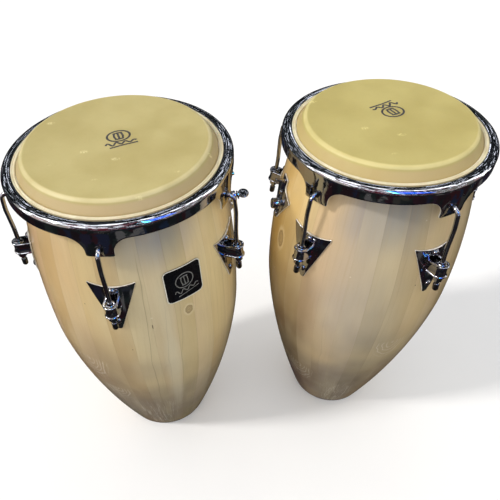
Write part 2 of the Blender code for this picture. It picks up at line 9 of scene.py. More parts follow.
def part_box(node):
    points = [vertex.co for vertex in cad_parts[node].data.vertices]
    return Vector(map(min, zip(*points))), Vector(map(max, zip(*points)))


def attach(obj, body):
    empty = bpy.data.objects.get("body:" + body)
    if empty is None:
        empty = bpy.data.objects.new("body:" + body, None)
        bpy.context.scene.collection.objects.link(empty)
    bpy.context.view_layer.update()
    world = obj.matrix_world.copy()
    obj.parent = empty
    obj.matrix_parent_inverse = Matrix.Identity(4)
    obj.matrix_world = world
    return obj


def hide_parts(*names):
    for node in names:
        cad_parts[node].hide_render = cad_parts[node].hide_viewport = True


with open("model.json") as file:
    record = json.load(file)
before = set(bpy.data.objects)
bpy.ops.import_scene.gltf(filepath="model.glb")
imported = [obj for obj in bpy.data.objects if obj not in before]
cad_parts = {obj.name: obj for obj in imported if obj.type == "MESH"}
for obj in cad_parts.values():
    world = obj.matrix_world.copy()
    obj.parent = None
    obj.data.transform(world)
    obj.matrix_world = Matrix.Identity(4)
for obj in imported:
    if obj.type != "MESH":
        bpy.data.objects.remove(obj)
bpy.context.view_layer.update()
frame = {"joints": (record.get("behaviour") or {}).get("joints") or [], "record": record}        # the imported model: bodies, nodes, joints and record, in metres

# A pair of tunable hand drums on a pale floor. Sizes are in metres. An azimuth is counted round
# a drum's axis from -Y towards +X, as in the CAD model, and "rise" is a height above the shell.
INCH = 0.0254
HEAD_TOP = 28 * INCH
RIM_HEIGHT = 0.689           # the rim's shoulder line
RIM_OVERHANG = 0.017         # head radius to shoulder radius
HOOK_HEIGHT = 0.655          # the holes in the rim's ears
STRAP_HEIGHT = 0.549
SHELL_WALL = 0.011
LOWER_SWEEP = 1.57           # how sharply the shell's side curves below and above its belly
UPPER_SWEEP = 2.28
SKIN = 0.0022                # thickness of the hide
GAP = 0.0003
FLAT_INSET = 0.0348
EDGE_ROUND = 0.009
COLLAR_SLOPE = radians(59)
COLLAR_INSET = 0.0180
SHOULDER_IN = 0.0015
SHOULDER_ROUND = 0.0060
RIM_METAL = 0.0022
FLANGE_INSET = 0.0107
SKIRT_DEPTH = 0.0170
EAR_DEPTH = 0.0480
EAR_HALF_WIDTH = 0.0195
EAR_CORNER = 0.0030
EAR_FILLET = 0.0240
ROD = 0.0035
ROD_HOLE = 0.0047
THREAD_PITCH = INCH / 20
THREAD_TURNS = 14
HOOK_BEND = 0.0085
HOOK_REACH = 0.0115          # from the ear to the rod, where the rod starts down
PLATE_LIFT = 0.0006
PLATE_METAL = 0.0020
BRACKET_METAL = 0.0025
NUT_HEIGHT = 0.0100
NUT_FLATS = 0.0127
PLATE_MIDDLE = 0.5480
STRAP_FLANGE = 0.0083        # from the strap's middle to the inner side of its flanges
BRACKET_MIDDLE = 0.5780
THREAD_FOOT = -0.0290        # along the rod, from the strap
LUGS = 5
DRUM_SIDES = 256             # facets round a shell, head or hoop
LUG_STEP = tau / LUGS
LUG_BOLTS = (0.5675, 0.5060)
BRACKET_BOLTS = (0.5895, 0.5455)
SOCKET_HEIGHT = 0.5660


class Drum:
    """One drum's driving sizes, its place from the frame, and its lugs from the nuts' joints."""

    def __init__(self, name, head_inches, base, belly_height, top, staves, first_edge):
        low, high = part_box(f"{name}_shell")
        self.name = name
        self.body = f"{name}_drum"
        self.tuning = f"{name}_tuning"
        self.centre = Vector(((low.x + high.x) / 2, (low.y + high.y) / 2, 0.0))
        self.belly = (high.x - low.x) / 2
        self.rim = head_inches / 2 * INCH + RIM_OVERHANG
        self.base = base
        self.belly_height = belly_height
        self.top = top
        self.staves = staves
        self.first_edge = first_edge
        joints = {joint["name"]: joint for joint in frame["joints"]}
        self.nuts = [joints[f"{name}_nut_{n + 1}_turn"] for n in range(LUGS)]
        self.lugs = [azimuth_of(Vector(nut["pos_m"]) - self.centre) for nut in self.nuts]
        mounts = {mount["name"]: mount for mount in frame["record"]["mounts"]}
        self.bracket = azimuth_of(Vector(mounts[f"{name}_stand_socket"]["axis"]))

    def piece(self, label, points, faces, sharp=32):
        return mesh_object(f"{self.name}_{label}", points, faces, sharp)

    def radius(self, z):
        """Radius of the shell's outside at a height."""
        crest = HEAD_TOP - SKIN - GAP
        if z < self.belly_height:
            part = (self.belly_height - z) / self.belly_height
            return self.belly - (self.belly - self.base) * part ** LOWER_SWEEP
        part = min((z - self.belly_height) / (crest - self.belly_height), 1.0)
        return self.belly - (self.belly - self.top) * part ** UPPER_SWEEP

    def bent(self, across, height, rise):
        """A point of a sheet laid round the shell at azimuth 0."""
        radius = self.radius(height) + rise
        angle = across / (self.radius(height) + PLATE_LIFT)
        return Vector((radius * sin(angle), -radius * cos(angle), height))


def azimuth_of(vector):
    return atan2(vector.x, -vector.y)


CONGA = Drum("conga", 12, 0.0963, 0.389, 0.1430, 30, 0.35)
QUINTO = Drum("quinto", 11, 0.0850, 0.412, 0.1262, 28, 0.10)
DRUMS = (CONGA, QUINTO)


# ---------------- mesh helpers

def mesh_object(name, points, faces, sharp=32):
    """An object of points and faces, welded, with its normals out and its round faces smooth."""
    mesh = bpy.data.meshes.new(name)
    mesh.from_pydata([tuple(point) for point in points], [], faces)
    bm = bmesh.new()
    bm.from_mesh(mesh)
    bmesh.ops.remove_doubles(bm, verts=bm.verts, dist=1e-6)
    bmesh.ops.recalc_face_normals(bm, faces=bm.faces)
    bm.to_mesh(mesh)
    bm.free()
    mesh.shade_smooth()
    mesh.set_sharp_from_angle(angle=radians(sharp))
    obj = bpy.data.objects.new(name, mesh)
    bpy.context.scene.collection.objects.link(obj)
    return obj


def round_angles(sides):
    return [tau * n / sides for n in range(sides)]


def loft(rings, closed_path=False):
    """Points and faces of a skin over equal closed rings of points."""
    count = len(rings[0])
    points = [point for ring in rings for point in ring]
    faces = []
    last = len(rings) if closed_path else len(rings) - 1
    for row in range(last):
        low = row * count
        high = (row + 1) % len(rings) * count
        for n in range(count):
            after = (n + 1) % count
            faces.append((low + n, low + after, high + after, high + n))
    if not closed_path:
        faces.append(tuple(range(count)))
        faces.append(tuple(range(len(points) - count, len(points))))
    return points, faces


def join_parts(parts):
    """One list of points and one of faces from several."""
    points = []
    faces = []
    for more_points, more_faces in parts:
        start = len(points)
        points += more_points
        faces += [tuple(start + corner for corner in face) for face in more_faces]
    return points, faces


def spaced(start, end, steps):
    return [start + (end - start) * n / steps for n in range(steps + 1)]


def moved(part, matrix):
    points, faces = part
    return [matrix @ Vector(point) for point in points], faces


def lathe(profile, sides, closed=True):
    """A closed (radius, height) profile, or an open one from axis to axis, spun round Z."""
    rings = [[Vector((r * sin(a), -r * cos(a), z)) for r, z in profile]
             for a in round_angles(sides)]
    if closed:
        return loft(rings, closed_path=True)
    count = len(profile)
    points = [point for ring in rings for point in ring]
    faces = []
    for n in range(sides):
        low = n * count
        high = (n + 1) % sides * count
        faces += [(low + k, low + k + 1, high + k + 1, high + k) for k in range(count - 1)]
    faces = [face for face in faces if len({tuple(points[c]) for c in face}) > 2]
    return points, faces


def arc(x, y, radius, start, end, steps):
    """Points along an arc, with its angles in degrees."""
    turns = [radians(a) for a in spaced(start, end, steps)]
    return [(x + radius * cos(a), y + radius * sin(a)) for a in turns]


def smooth_path(knots, steps):
    """Points on a Catmull-Rom curve through the knots."""
    ends = [2 * knots[0] - knots[1]] + knots + [2 * knots[-1] - knots[-2]]
    points = []
    for a, b, c, d in zip(ends, ends[1:], ends[2:], ends[3:]):
        for n in range(steps):
            t = n / steps
            points.append(0.5 * ((2 * b) + (c - a) * t + (2 * a - 5 * b + 4 * c - d) * t ** 2
                                 + (3 * b - a - 3 * c + d) * t ** 3))
    return points + [knots[-1]]


def tube(path, radii, sides):
    """A round tube along a path, with a radius for each point."""
    ways = [(b - a).normalized() for a, b in zip(path, path[1:])]
    tangents = [(a + b).normalized() for a, b in zip(ways, ways[1:])]
    tangents = [ways[0]] + tangents + [ways[-1]]
    side = tangents[0].orthogonal().normalized()
    rings = []
    for point, tangent, radius in zip(path, tangents, radii):
        side = (side - tangent * side.dot(tangent)).normalized()
        other = tangent.cross(side)
        rings.append([point + radius * (cos(a) * side + sin(a) * other)
                      for a in round_angles(sides)])
    return loft(rings)


def off_shell(drum, height, rise, azimuth=0.0):
    """A frame on a drum's side whose own +Z is the shell's outward normal there."""
    step = 0.001
    fall = drum.radius(height - step) - drum.radius(height + step)
    tilt = pi / 2 - atan2(fall, 2 * step)
    return (turn(azimuth) @ Matrix.Translation((0, -drum.radius(height), height))
            @ Matrix.Rotation(tilt, 4, "X") @ Matrix.Translation((0, 0, rise)))


def turn(azimuth):
    return Matrix.Rotation(azimuth, 4, "Z")


def cut(obj, part):
    """Drills a piece with a closed cutter, and applies the cut."""
    cutter = mesh_object("cutter", *part)
    hole = obj.modifiers.new("Cut", "BOOLEAN")
    hole.operation = "DIFFERENCE"
    hole.object = cutter
    view = bpy.context.evaluated_depsgraph_get()
    mesh = bpy.data.meshes.new_from_object(obj.evaluated_get(view))
    obj.modifiers.clear()
    obj.data = mesh
    bpy.data.objects.remove(cutter)


def finish_piece(obj, drum, body, nodes, materials, place=None):
    """Puts a piece on its drum's axis, gives it its materials and tells the frame what it is."""
    obj.matrix_world = Matrix.Translation(drum.centre) @ (place or Matrix.Identity(4))
    obj.data.materials.clear()
    for made in materials:
        obj.data.materials.append(made)
    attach(obj, body)
    if nodes:
        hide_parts(*nodes)
    return obj


# ---------------- material helpers

def operator(operation, swapped=False):
    """A Value's method that adds one maths node."""
    def apply(value, other=0.0):
        pair = (other, value) if swapped else (value, other)
        return value.nodes.math(operation, *pair)
    return apply


class Value:
    """What a node gives out. Sums with it add maths nodes to its tree."""

    def __init__(self, nodes, socket):
        self.nodes = nodes
        self.socket = socket

    __add__ = operator("ADD")
    __radd__ = operator("ADD", swapped=True)
    __sub__ = operator("SUBTRACT")
    __rsub__ = operator("SUBTRACT", swapped=True)
    __mul__ = operator("MULTIPLY")
    __truediv__ = operator("DIVIDE")
    __pow__ = operator("POWER")
    __abs__ = operator("ABSOLUTE")
    root = operator("SQRT")
    floor = operator("FLOOR")
    fract = operator("FRACT")
    sine = operator("SINE")
    most = operator("MAXIMUM")


class Nodes:
    """Short calls that add nodes to a tree."""

    def __init__(self, tree):
        self.tree = tree

    def put(self, socket, value):
        """Puts a Value, another node's socket or a constant on a socket."""
        value = getattr(value, "socket", value)
        if isinstance(value, bpy.types.NodeSocket):
            self.tree.links.new(value, socket)
        else:
            socket.default_value = value

    def node(self, kind, links=None, **settings):
        made = self.tree.nodes.new(kind)
        for key, value in settings.items():
            setattr(made, key, value)
        for key, value in (links or {}).items():
            self.put(made.inputs[key], value)
        return made

    def value(self, kind, links, **settings):
        return Value(self, self.node(kind, links, **settings).outputs[0])

    def math(self, operation, first, second=0.0):
        return self.value("ShaderNodeMath", {0: first, 1: second}, operation=operation)

    def hypot(self, x, y):
        return (x ** 2.0 + y ** 2.0).root()

    def spread(self, value, low, high, to_low=0.0, to_high=1.0):
        """A value from low to high, spread smoothly over another range."""
        return self.value("ShaderNodeMapRange", {0: value, 1: low, 2: high, 3: to_low, 4: to_high},
                          interpolation_type="SMOOTHSTEP")

    def mix(self, factor, first, second, blend="MIX"):
        made = self.node("ShaderNodeMix", {0: factor}, data_type="RGBA", blend_type=blend)
        for key, colour in ((6, first), (7, second)):
            self.put(made.inputs[key], (*colour, 1.0) if isinstance(colour, tuple) else colour)
        return made.outputs[2]

    def noise(self, vector, scale, detail=2.0, rough=0.5, warp=0.0):
        links = {"Vector": vector, "Scale": scale, "Detail": detail, "Roughness": rough,
                 "Distortion": warp}
        return self.value("ShaderNodeTexNoise", links)

    def scaled(self, vector, x, y, z):
        return self.value("ShaderNodeVectorMath", {0: vector, 1: (x, y, z)}, operation="MULTIPLY")

    def joined(self, x, y, z):
        return self.value("ShaderNodeCombineXYZ", {0: x, 1: y, 2: z})

    def parts(self, vector):
        made = self.node("ShaderNodeSeparateXYZ", {0: vector})
        return [Value(self, socket) for socket in made.outputs[:3]]

    def ramp(self, factor, stops):
        made = self.node("ShaderNodeValToRGB", {0: factor})
        line = made.color_ramp
        while len(line.elements) < len(stops):
            line.elements.new(0.5)
        for element, (place, colour) in zip(line.elements, stops):
            element.position = place
            element.color = (*colour, 1.0)
        return made.outputs[0]

    def choose(self, factor, first, second, output):
        """Puts one of two shader nodes on the tree's output."""
        pair = {1: first.outputs[0], 2: second.outputs[0]}
        both = self.node("ShaderNodeMixShader", {0: factor, **pair})
        self.put(self.tree.nodes[output].inputs["Surface"], both.outputs[0])

    def cells(self, vector, scale, metric="EUCLIDEAN"):
        """Distance to the nearest of some scattered points, and three chances for each point."""
        links = {"Vector": vector, "Scale": scale}
        made = self.node("ShaderNodeTexVoronoi", links, distance=metric)
        return Value(self, made.outputs["Distance"]), *self.parts(made.outputs["Color"])


class Shader(Nodes):
    """A material's nodes, round its Principled surface."""

    def __init__(self, name, **settings):
        self.material = bpy.data.materials.new(name)
        self.material.use_nodes = True
        super().__init__(self.material.node_tree)
        self.surface = self.tree.nodes["Principled BSDF"]
        self.colour = None
        for key, value in settings.items():
            self.set(key.replace("_", " "), value)
        self.place = self.node("ShaderNodeTexCoord").outputs["Object"]

    def set(self, socket, value):
        self.put(self.surface.inputs[socket], value)

    def lay(self, amount, shade, blend="MIX"):
        """Lays a shade over the colour so far."""
        self.colour = self.mix(amount, self.colour, shade, blend)

    def wrapped(self):
        """Azimuth, radius and height of a point of a drum, from its object coordinates."""
        x, y, z = self.parts(self.place)
        return self.math("ARCTAN2", x, y * -1.0), self.hypot(x, y), z

    def finish(self, *layers):
        """Sets the colour, and bump from (height, depth in metres) layers, one on another."""
        self.set("Base Color", self.colour)
        normal = None
        for height, depth in layers:
            links = {"Height": height, "Distance": depth, "Strength": 1.0}
            if normal:
                links["Normal"] = normal
            normal = self.node("ShaderNodeBump", links).outputs[0]
        self.set("Normal", normal)
        return self.material


# ---------------- materials

# painted light and shade, with some of the wood's own tone: azimuth and height of the middle, reach
# round and up, amount, colour
# lit sides, a painted shadow under the rim, a pale painted sheen on the front, painted shade at the
# foot and the conga's shadow painted on the quinto
PAINTED_LIGHT_AND_TONE = {
    "conga": [(-62.0, 0.50, 44.0, 0.34, 0.85, (0.70, 0.465, 0.215)),
              (-66.0, 0.62, 34.0, 0.08, 0.60, (0.56, 0.36, 0.17)),
              (56.0, 0.50, 32.0, 0.26, 0.80, (0.84, 0.69, 0.34)),
              (8.0, 0.50, 26.0, 0.22, 0.60, (0.62, 0.545, 0.37)),
              (14.0, 0.655, 30.0, 0.075, 0.95, (0.30, 0.30, 0.30)),
              (-30.0, 0.30, 34.0, 0.20, 0.75, (0.37, 0.275, 0.18)),
              (0.0, 0.12, 70.0, 0.26, 0.85, (0.30, 0.25, 0.195)),
              (15.5, 0.37, 6.0, 0.30, 0.45, (0.74, 0.70, 0.52))],
    "quinto": [(-92.0, 0.53, 40.0, 0.30, 0.95, (0.53, 0.335, 0.08)),
               (-58.0, 0.40, 30.0, 0.24, 0.80, (0.40, 0.27, 0.13)),
               (-40.0, 0.52, 26.0, 0.20, 0.60, (0.48, 0.36, 0.23)),
               (-14.0, 0.44, 34.0, 0.32, 0.70, (0.40, 0.365, 0.305)),
               (-12.0, 0.655, 36.0, 0.10, 0.95, (0.25, 0.255, 0.265)),
               (34.0, 0.50, 26.0, 0.28, 0.75, (0.60, 0.445, 0.215)),
               (-14.0, 0.12, 60.0, 0.28, 0.85, (0.22, 0.19, 0.155)),
               (-66.0, 0.16, 34.0, 0.22, 0.85, (0.16, 0.095, 0.05))],
}
# azimuth at LINE_HEIGHT, degrees for each metre up, width, amount, lowest and highest point
LINE_HEIGHT = 0.4
LINES = {"conga": [(4.6, 12.0, 0.0012, 0.60, 0.05, 0.64), (12.8, 16.0, 0.0009, 0.22, 0.08, 0.55),
                   (20.8, 7.0, 0.0009, 0.30, 0.12, 0.58), (33.0, 12.0, 0.0010, 0.20, 0.10, 0.60)],
         "quinto": [(2.0, 0.0, 0.0010, 0.20, 0.10, 0.60), (-33.0, 0.0, 0.0009, 0.22, 0.10, 0.50)]}
# azimuth and height of the middle, half width and half height
KNOTS = {"conga": [(28.2, 0.4915, 0.0062, 0.0085)], "quinto": [(-78.0, 0.515, 0.008, 0.016)]}
MARKS = {"conga": [(7.4, 0.480, 0.0009, 0.0060), (-5.7, 0.4263, 0.0010, 0.0014),
                   (-25.9, 0.5294, 0.0009, 0.0012)],
         "quinto": [(12.0, 0.505, 0.0009, 0.0018)]}
# nested curved scuffs: azimuth, height, reach; scratches at the foot: azimuth, height they reach
SCUFFS = {"conga": [(-37.0, 0.350, 0.042), (-27.0, 0.250, 0.034)],
          "quinto": [(-56.0, 0.160, 0.046), (12.0, 0.330, 0.036)]}
FOOT = {"conga": (-5.0, 0.26), "quinto": (-10.0, 0.20)}
RING_PITCH = 0.0095          # between growth rings
SCUFF_PITCH = 0.0075         # between the arcs of a scuff


def staves_material(drum, lacquered):
    """Glued staves of pale hardwood, each with its own tone and growth rings; the lacquered outside
    also has light and shade painted on.
    """
    s = Shader(f"{drum.name}_{'lacquered' if lacquered else 'raw'}_staves",
               Roughness=0.42 if lacquered else 0.75)
    painted_light_and_tone, lines, knots, marks = (table[drum.name] if lacquered else ()
                                  for table in (PAINTED_LIGHT_AND_TONE, LINES, KNOTS, MARKS))
    azimuth, radius, z = s.wrapped()
    step = tau / drum.staves
    drift = s.noise(s.joined(azimuth * 3.1, 0.0, z * 1.5), 1.0)
    count = azimuth / step + (drum.first_edge + drum.staves) + (drift - 0.5) * 0.55
    index = count.floor()
    across = count.fract() - 0.5
    u = across * step * radius
    chance = s.node("ShaderNodeTexWhiteNoise", {"Vector": s.joined(index, drum.first_edge, 1.7)},
                    noise_dimensions="3D")
    one, two, three = s.parts(chance.outputs["Color"])

    # growth rings: the board's cut through a trunk whose pith lies behind it
    wander = s.noise(s.joined(u * 9.0, one, z * 4.5), 1.0, 3.0)
    pith = u + (one - 0.5) * 0.12 + (wander - 0.5) * 0.024
    depth = (z - three * 0.7) * 0.085 + wander * 0.03
    ring = (s.hypot(pith, depth) / RING_PITCH).fract()
    late = ring ** 5.0 * s.spread(ring, 0.94, 1.0, 1.0, 0.0)
    clear = s.noise(s.joined(azimuth * 3.0, three, z * 2.0), 1.0)
    late = late * s.spread(clear, 0.40, 0.62, 0.15, 1.0)

    # fibres and pores run along the stave
    along = s.joined(u + index * 3.1, 0.0, z * 0.030)
    fibre = s.noise(along, 900.0, 3.0, 0.6)
    streak = s.noise(along, 130.0, 3.0, 0.55)
    cloud = s.noise(s.joined(u + index, one, z * 0.35), 16.0, 2.0)
    pores = s.noise(s.joined(u + index, 0.0, z * 0.045), 1500.0, 1.0)

    s.colour = s.ramp(two, [(0.0, (0.66, 0.47, 0.23)), (0.25, (0.70, 0.54, 0.28)),
                            (0.5, (0.66, 0.50, 0.27)), (0.75, (0.74, 0.60, 0.34)),
                            (1.0, (0.61, 0.44, 0.22))])
    # painted light and shade in broad patches round the drum, with some of the wood's own tone,
    # softened by a slow noise
    patchy = (s.noise(s.place, 7.0, 2.0) - 0.5) * 0.9
    for middle, height, wide, tall, amount, shade in painted_light_and_tone:
        away = s.hypot((azimuth - radians(middle)) / radians(wide), (z - height) / tall)
        s.lay(s.spread(away + patchy, 1.15, 0.15, 0.0, amount), shade)
    lighter = (three - 0.5) * 0.20 + 0.99
    s.lay(1.0, s.joined(lighter, lighter, lighter * lighter), "MULTIPLY")
    s.lay(late * 0.13, (0.30, 0.20, 0.10))
    s.lay(s.spread(streak, 0.45, 0.80, 0.0, 0.16), (0.42, 0.28, 0.14))
    s.lay(s.spread(cloud, 0.40, 0.75, 0.0, 0.30), (0.78, 0.66, 0.42))
    s.lay(s.spread(fibre, 0.35, 0.75, 0.0, 0.10), (0.42, 0.29, 0.15))
    slow = s.noise(s.joined(0.0, 0.0, z * 9.0), 1.0, 2.0)
    for middle, slope, wide, dark, low, high in lines:
        side = azimuth - (radians(middle) + (z - LINE_HEIGHT) * radians(slope))
        side = side * radius + (drift - 0.5) * 0.05 + (slow - 0.5) * 0.016
        ends = s.spread(z, low, low + 0.05) * s.spread(z, high, high - 0.05)
        s.lay(s.spread(abs(side), wide, 0.0) * ends * dark, (0.27, 0.21, 0.13))
    s.lay(s.spread(pores, 0.66, 0.78) * 0.20, (0.26, 0.16, 0.08))
    for middle, height, wide, tall in knots:
        away = s.hypot((azimuth - radians(middle)) * radius / wide, (z - height) / tall)
        away = away + (s.noise(s.place, 170.0, 3.0) - 0.5) * 0.5
        inside = s.spread(away, 1.12, 0.95)
        s.lay(inside * s.spread((away * 13.0).sine(), -0.8, 1.0, 0.30, 0.70), (0.30, 0.21, 0.10))
        s.lay(inside * s.spread(away, 0.72, 0.95) * 0.6, (0.20, 0.13, 0.065))
        glow = s.spread(away, 1.10, 1.25) * s.spread(away, 1.9, 1.3)
        s.lay(glow * 0.35, (0.85, 0.74, 0.50))
    for middle, height, wide, tall in marks:
        side = ((azimuth - radians(middle)) * radius + wander * 0.001) / wide
        away = side ** 2.0 + ((z - height) / tall) ** 2.0
        s.lay(s.spread(away, 1.0, 0.5, 0.0, 0.85), (0.07, 0.045, 0.03))

    # glue line between two staves
    seam = s.spread((0.5 - abs(across)) * (radius * step), 0.0007, 0.0001)
    s.lay(seam * s.spread(one, 0.0, 1.0, 0.06, 0.30), (0.25, 0.16, 0.08))
    if not lacquered:
        s.lay(0.35, (0.50, 0.38, 0.24))
        s.set("Roughness", s.spread(fibre, 0.3, 0.7, 0.62, 0.85))
        return s.finish((fibre, 0.0003), (seam, -0.0004))

    worn = wear(s, drum, azimuth, radius, z)
    s.lay(worn * 0.62, (0.92, 0.85, 0.70))
    # painted shade: the lowest centimetre of the shell is darkened, where it stands on the floor
    s.lay(s.spread(z, 0.010, 0.001) * 0.75, (0.075, 0.055, 0.045))
    smear = s.noise(s.place, 30.0, 3.0)
    s.set("Roughness", s.spread(smear, 0.3, 0.7, 0.34, 0.46) + worn * 0.3)
    s.set("Coat Weight", 0.9)
    s.set("Coat Roughness", 0.10)
    s.set("Coat IOR", 1.5)
    sag = s.noise(s.scaled(s.place, 1.0, 1.0, 0.5), 38.0, 1.0)
    return s.finish((sag, 0.0004), (fibre, 0.00004), (seam, -0.00012), (worn, -0.0001))


def wear(s, drum, azimuth, radius, z):
    """Fine pale scratches up from the foot, nested curved scuffs and small chips."""
    middle, top = FOOT[drum.name]
    scratch = s.noise(s.joined(azimuth * 42.0, drum.first_edge, z * 9.0), 1.0, 1.0, 0.5, 0.3)
    side = abs(azimuth - radians(middle))
    low_down = s.spread(z, top, top * 0.3) * s.spread(side, radians(24.0), radians(10.0))
    worn = s.spread(abs(scratch - 0.5), 0.034, 0.012) * low_down
    for middle, height, reach in SCUFFS[drum.name]:
        up = (z - (height + 0.5 * reach)) * 0.55
        away = s.hypot((azimuth - radians(middle)) * radius, up)
        arcs = (away / SCUFF_PITCH + s.noise(s.place, 34.0, 2.0) * 2.4).fract()
        arcs = s.spread(abs(arcs - 0.5), 0.17, 0.06) * s.spread(away, reach, reach * 0.75)
        worn = worn.most(arcs * s.spread(up, 0.10 * reach, -0.05 * reach) * 0.62)
    distance, lucky, _, _ = s.cells(s.place, 42.0)
    chip = s.spread(distance, 0.10, 0.05) * s.spread(lucky, 0.965, 0.97)
    return worn.most(chip * 0.8)


def hide_material(drum):
    """Tan hide, with a painted cream highlight along its rounded edge, darker down the collar and
    painted lighter on the collar's front.
    """
    s = Shader(f"{drum.name}_hide", Roughness=0.5, Subsurface_Weight=0.06, Subsurface_Scale=0.004,
               Subsurface_Radius=(1.0, 0.6, 0.3))
    azimuth, radius, z = s.wrapped()
    flat_end = drum.rim - FLAT_INSET
    blotch = s.noise(s.place, 11.0, 4.0, 0.55)
    speck = s.noise(s.place, 260.0, 3.0, 0.7)
    follicle = s.cells(s.place, 620.0)[0]
    s.colour = s.mix(s.spread(blotch, 0.3, 0.7), (0.440, 0.362, 0.158), (0.510, 0.432, 0.210))
    s.lay(s.spread(speck, 0.55, 0.8, 0.0, 0.30), (0.37, 0.30, 0.13))
    rubbed = s.noise(s.scaled(s.place, 1.0, 2.6, 1.0), 9.0, 3.0, 0.7)
    rubbed = s.spread(rubbed, 0.5, 0.75, 0.0, 0.30) * s.spread(radius, flat_end, 0.02, 0.0, 1.0)
    s.lay(rubbed, (0.43, 0.35, 0.16))
    # painted highlight: a cream band along the rounded edge, uneven in strength
    edge = (s.spread(radius, flat_end + 0.0005, flat_end + 0.0035)
            * s.spread(z, HEAD_TOP - 0.0048, HEAD_TOP - 0.0030))
    uneven = s.spread(s.noise(s.place, 22.0, 3.0), 0.3, 0.7, 0.40, 0.75)
    s.lay(edge * uneven, (0.70, 0.61, 0.38))
    wall = s.spread(z, HEAD_TOP - 0.0045, HEAD_TOP - 0.0085)
    s.lay(wall * 0.85, (0.49, 0.375, 0.215))
    streaks = s.noise(s.scaled(s.place, 1.0, 1.0, 0.2), 55.0, 2.0)
    s.lay(wall * s.spread(streaks, 0.45, 0.75, 0.0, 0.30), (0.45, 0.32, 0.16))
    # painted light: the collar is made lighter and rosier on its side towards the front, at azimuth
    # 0
    s.lay(wall * s.spread(abs(azimuth), 0.9, 0.2, 0.0, 0.5), (0.56, 0.425, 0.275))
    distance, _, lucky, _ = s.cells(s.scaled(s.place, 1.0, 1.9, 1.0), 24.0)
    scuff = (s.spread(distance, 0.20, 0.10) * s.spread(lucky, 0.70, 0.71)
             * s.spread(s.noise(s.place, 420.0), 0.42, 0.55))
    s.lay(scuff * 0.7, (0.78, 0.70, 0.42))
    s.lay(1.0, (1.0, 1.0, 0.87 if drum is CONGA else 0.72), "MULTIPLY")
    s.set("Roughness", s.spread(blotch, 0.3, 0.7, 0.40, 0.56) + scuff * 0.2)
    return s.finish((blotch, 0.0004), (speck, 0.00005), (follicle, 0.00002), (scuff, -0.00008))


def roll_material(drum):
    """The hide's edge, rolled tight with faint pleats, coloured cream as a painted highlight on its
    beads.
    """
    s = Shader(f"{drum.name}_hide_roll", Roughness=0.45, Subsurface_Weight=0.08,
               Subsurface_Scale=0.003)
    azimuth, _, _ = s.wrapped()
    pleats = s.noise(s.joined(azimuth * 70.0, 0.0, 0.0), 1.0, 2.0)
    blotch = s.noise(s.place, 40.0, 3.0)
    # painted highlight: the roll is coloured much paler than the hide it is made of
    s.colour = s.mix(s.spread(blotch, 0.3, 0.7), (0.66, 0.58, 0.37), (0.78, 0.72, 0.52))
    s.lay(s.spread(pleats, 0.5, 0.8, 0.0, 0.3), (0.48, 0.40, 0.22))
    return s.finish((pleats, 0.0002), (blotch, 0.0001))


def chrome_material(name, base, rough, dents):
    """Polished plating with shallow dents, pits, smears and hairline scratches."""
    s = Shader(name, Metallic=1.0, Roughness=rough)
    smear = s.noise(s.place, 45.0, 3.0, 0.6)
    distance, lucky, _, _ = s.cells(s.place, 330.0)
    pit = s.spread(distance, 0.22, 0.10) * s.spread(lucky, 0.93, 0.95)
    scratch = s.noise(s.scaled(s.place, 1.0, 1.0, 9.0), 260.0, 2.0, 0.5, 1.2)
    dull = pit.most(s.spread(abs(scratch - 0.5), 0.010, 0.002) * 0.35)
    s.colour = s.mix(dull * 0.6, base, tuple(0.45 * part for part in base))
    s.set("Roughness", s.spread(smear, 0.35, 0.75, rough, rough + 0.05) + dull * 0.25)
    return s.finish((s.noise(s.place, 34.0, 1.0), dents),
                    (s.noise(s.place, 110.0, 2.0), dents * 0.16), (pit, -0.00003))


def edge_highlight_material():
    """Painted highlight for the rounded edges of the plating: a pale, half-metal finish in place of
    the light they catch.
    """
    s = Shader("painted_highlight_edges", Metallic=0.35, Roughness=0.30)
    # the painted highlight is varied in strength by a noise
    rubbed = s.noise(s.place, 120.0, 3.0, 0.6)
    s.colour = s.mix(s.spread(rubbed, 0.3, 0.7), (0.62, 0.58, 0.52), (0.92, 0.88, 0.80))
    return s.finish((rubbed, 0.00003))


def plated_material():
    """Zinc-plated steel, a little yellow and duller, for what is inside."""
    s = Shader("zinc_plate", Metallic=1.0, Roughness=0.34)
    cloud = s.noise(s.place, 160.0, 4.0, 0.6)
    s.colour = s.mix(s.spread(cloud, 0.3, 0.7), (0.50, 0.47, 0.38), (0.62, 0.61, 0.58))
    s.set("Roughness", s.spread(cloud, 0.3, 0.7, 0.26, 0.42))
    return s.finish((cloud, 0.00004))


def black_material(name, rough):
    """Black vinyl or enamel with dust and fine rubbing."""
    s = Shader(name, Roughness=rough, Coat_Weight=0.4, Coat_Roughness=0.06)
    dust = s.noise(s.place, 420.0, 3.0, 0.7)
    cloud = s.noise(s.place, 40.0, 2.0)
    s.colour = s.mix(s.spread(dust, 0.62, 0.85, 0.0, 0.3), (0.004, 0.004, 0.005),
                     (0.060, 0.056, 0.050))
    s.set("Roughness", s.spread(cloud, 0.3, 0.7, rough, rough + 0.12))
    return s.finish((dust, 0.00002))


def print_material(name, fresh, worn):
    """A printed line that is worn in places."""
    s = Shader(name, Roughness=0.5)
    rubbed = s.noise(s.place, 900.0, 3.0, 0.7)
    s.colour = s.mix(s.spread(rubbed, 0.50, 0.66), fresh, worn)
    return s.finish((rubbed, 0.00002))


CHROME = chrome_material("chrome_rim", (0.50, 0.51, 0.54), 0.03, 0.0006)
CHROME_SMALL = chrome_material("chrome_fittings", (0.46, 0.47, 0.50), 0.05, 0.0002)
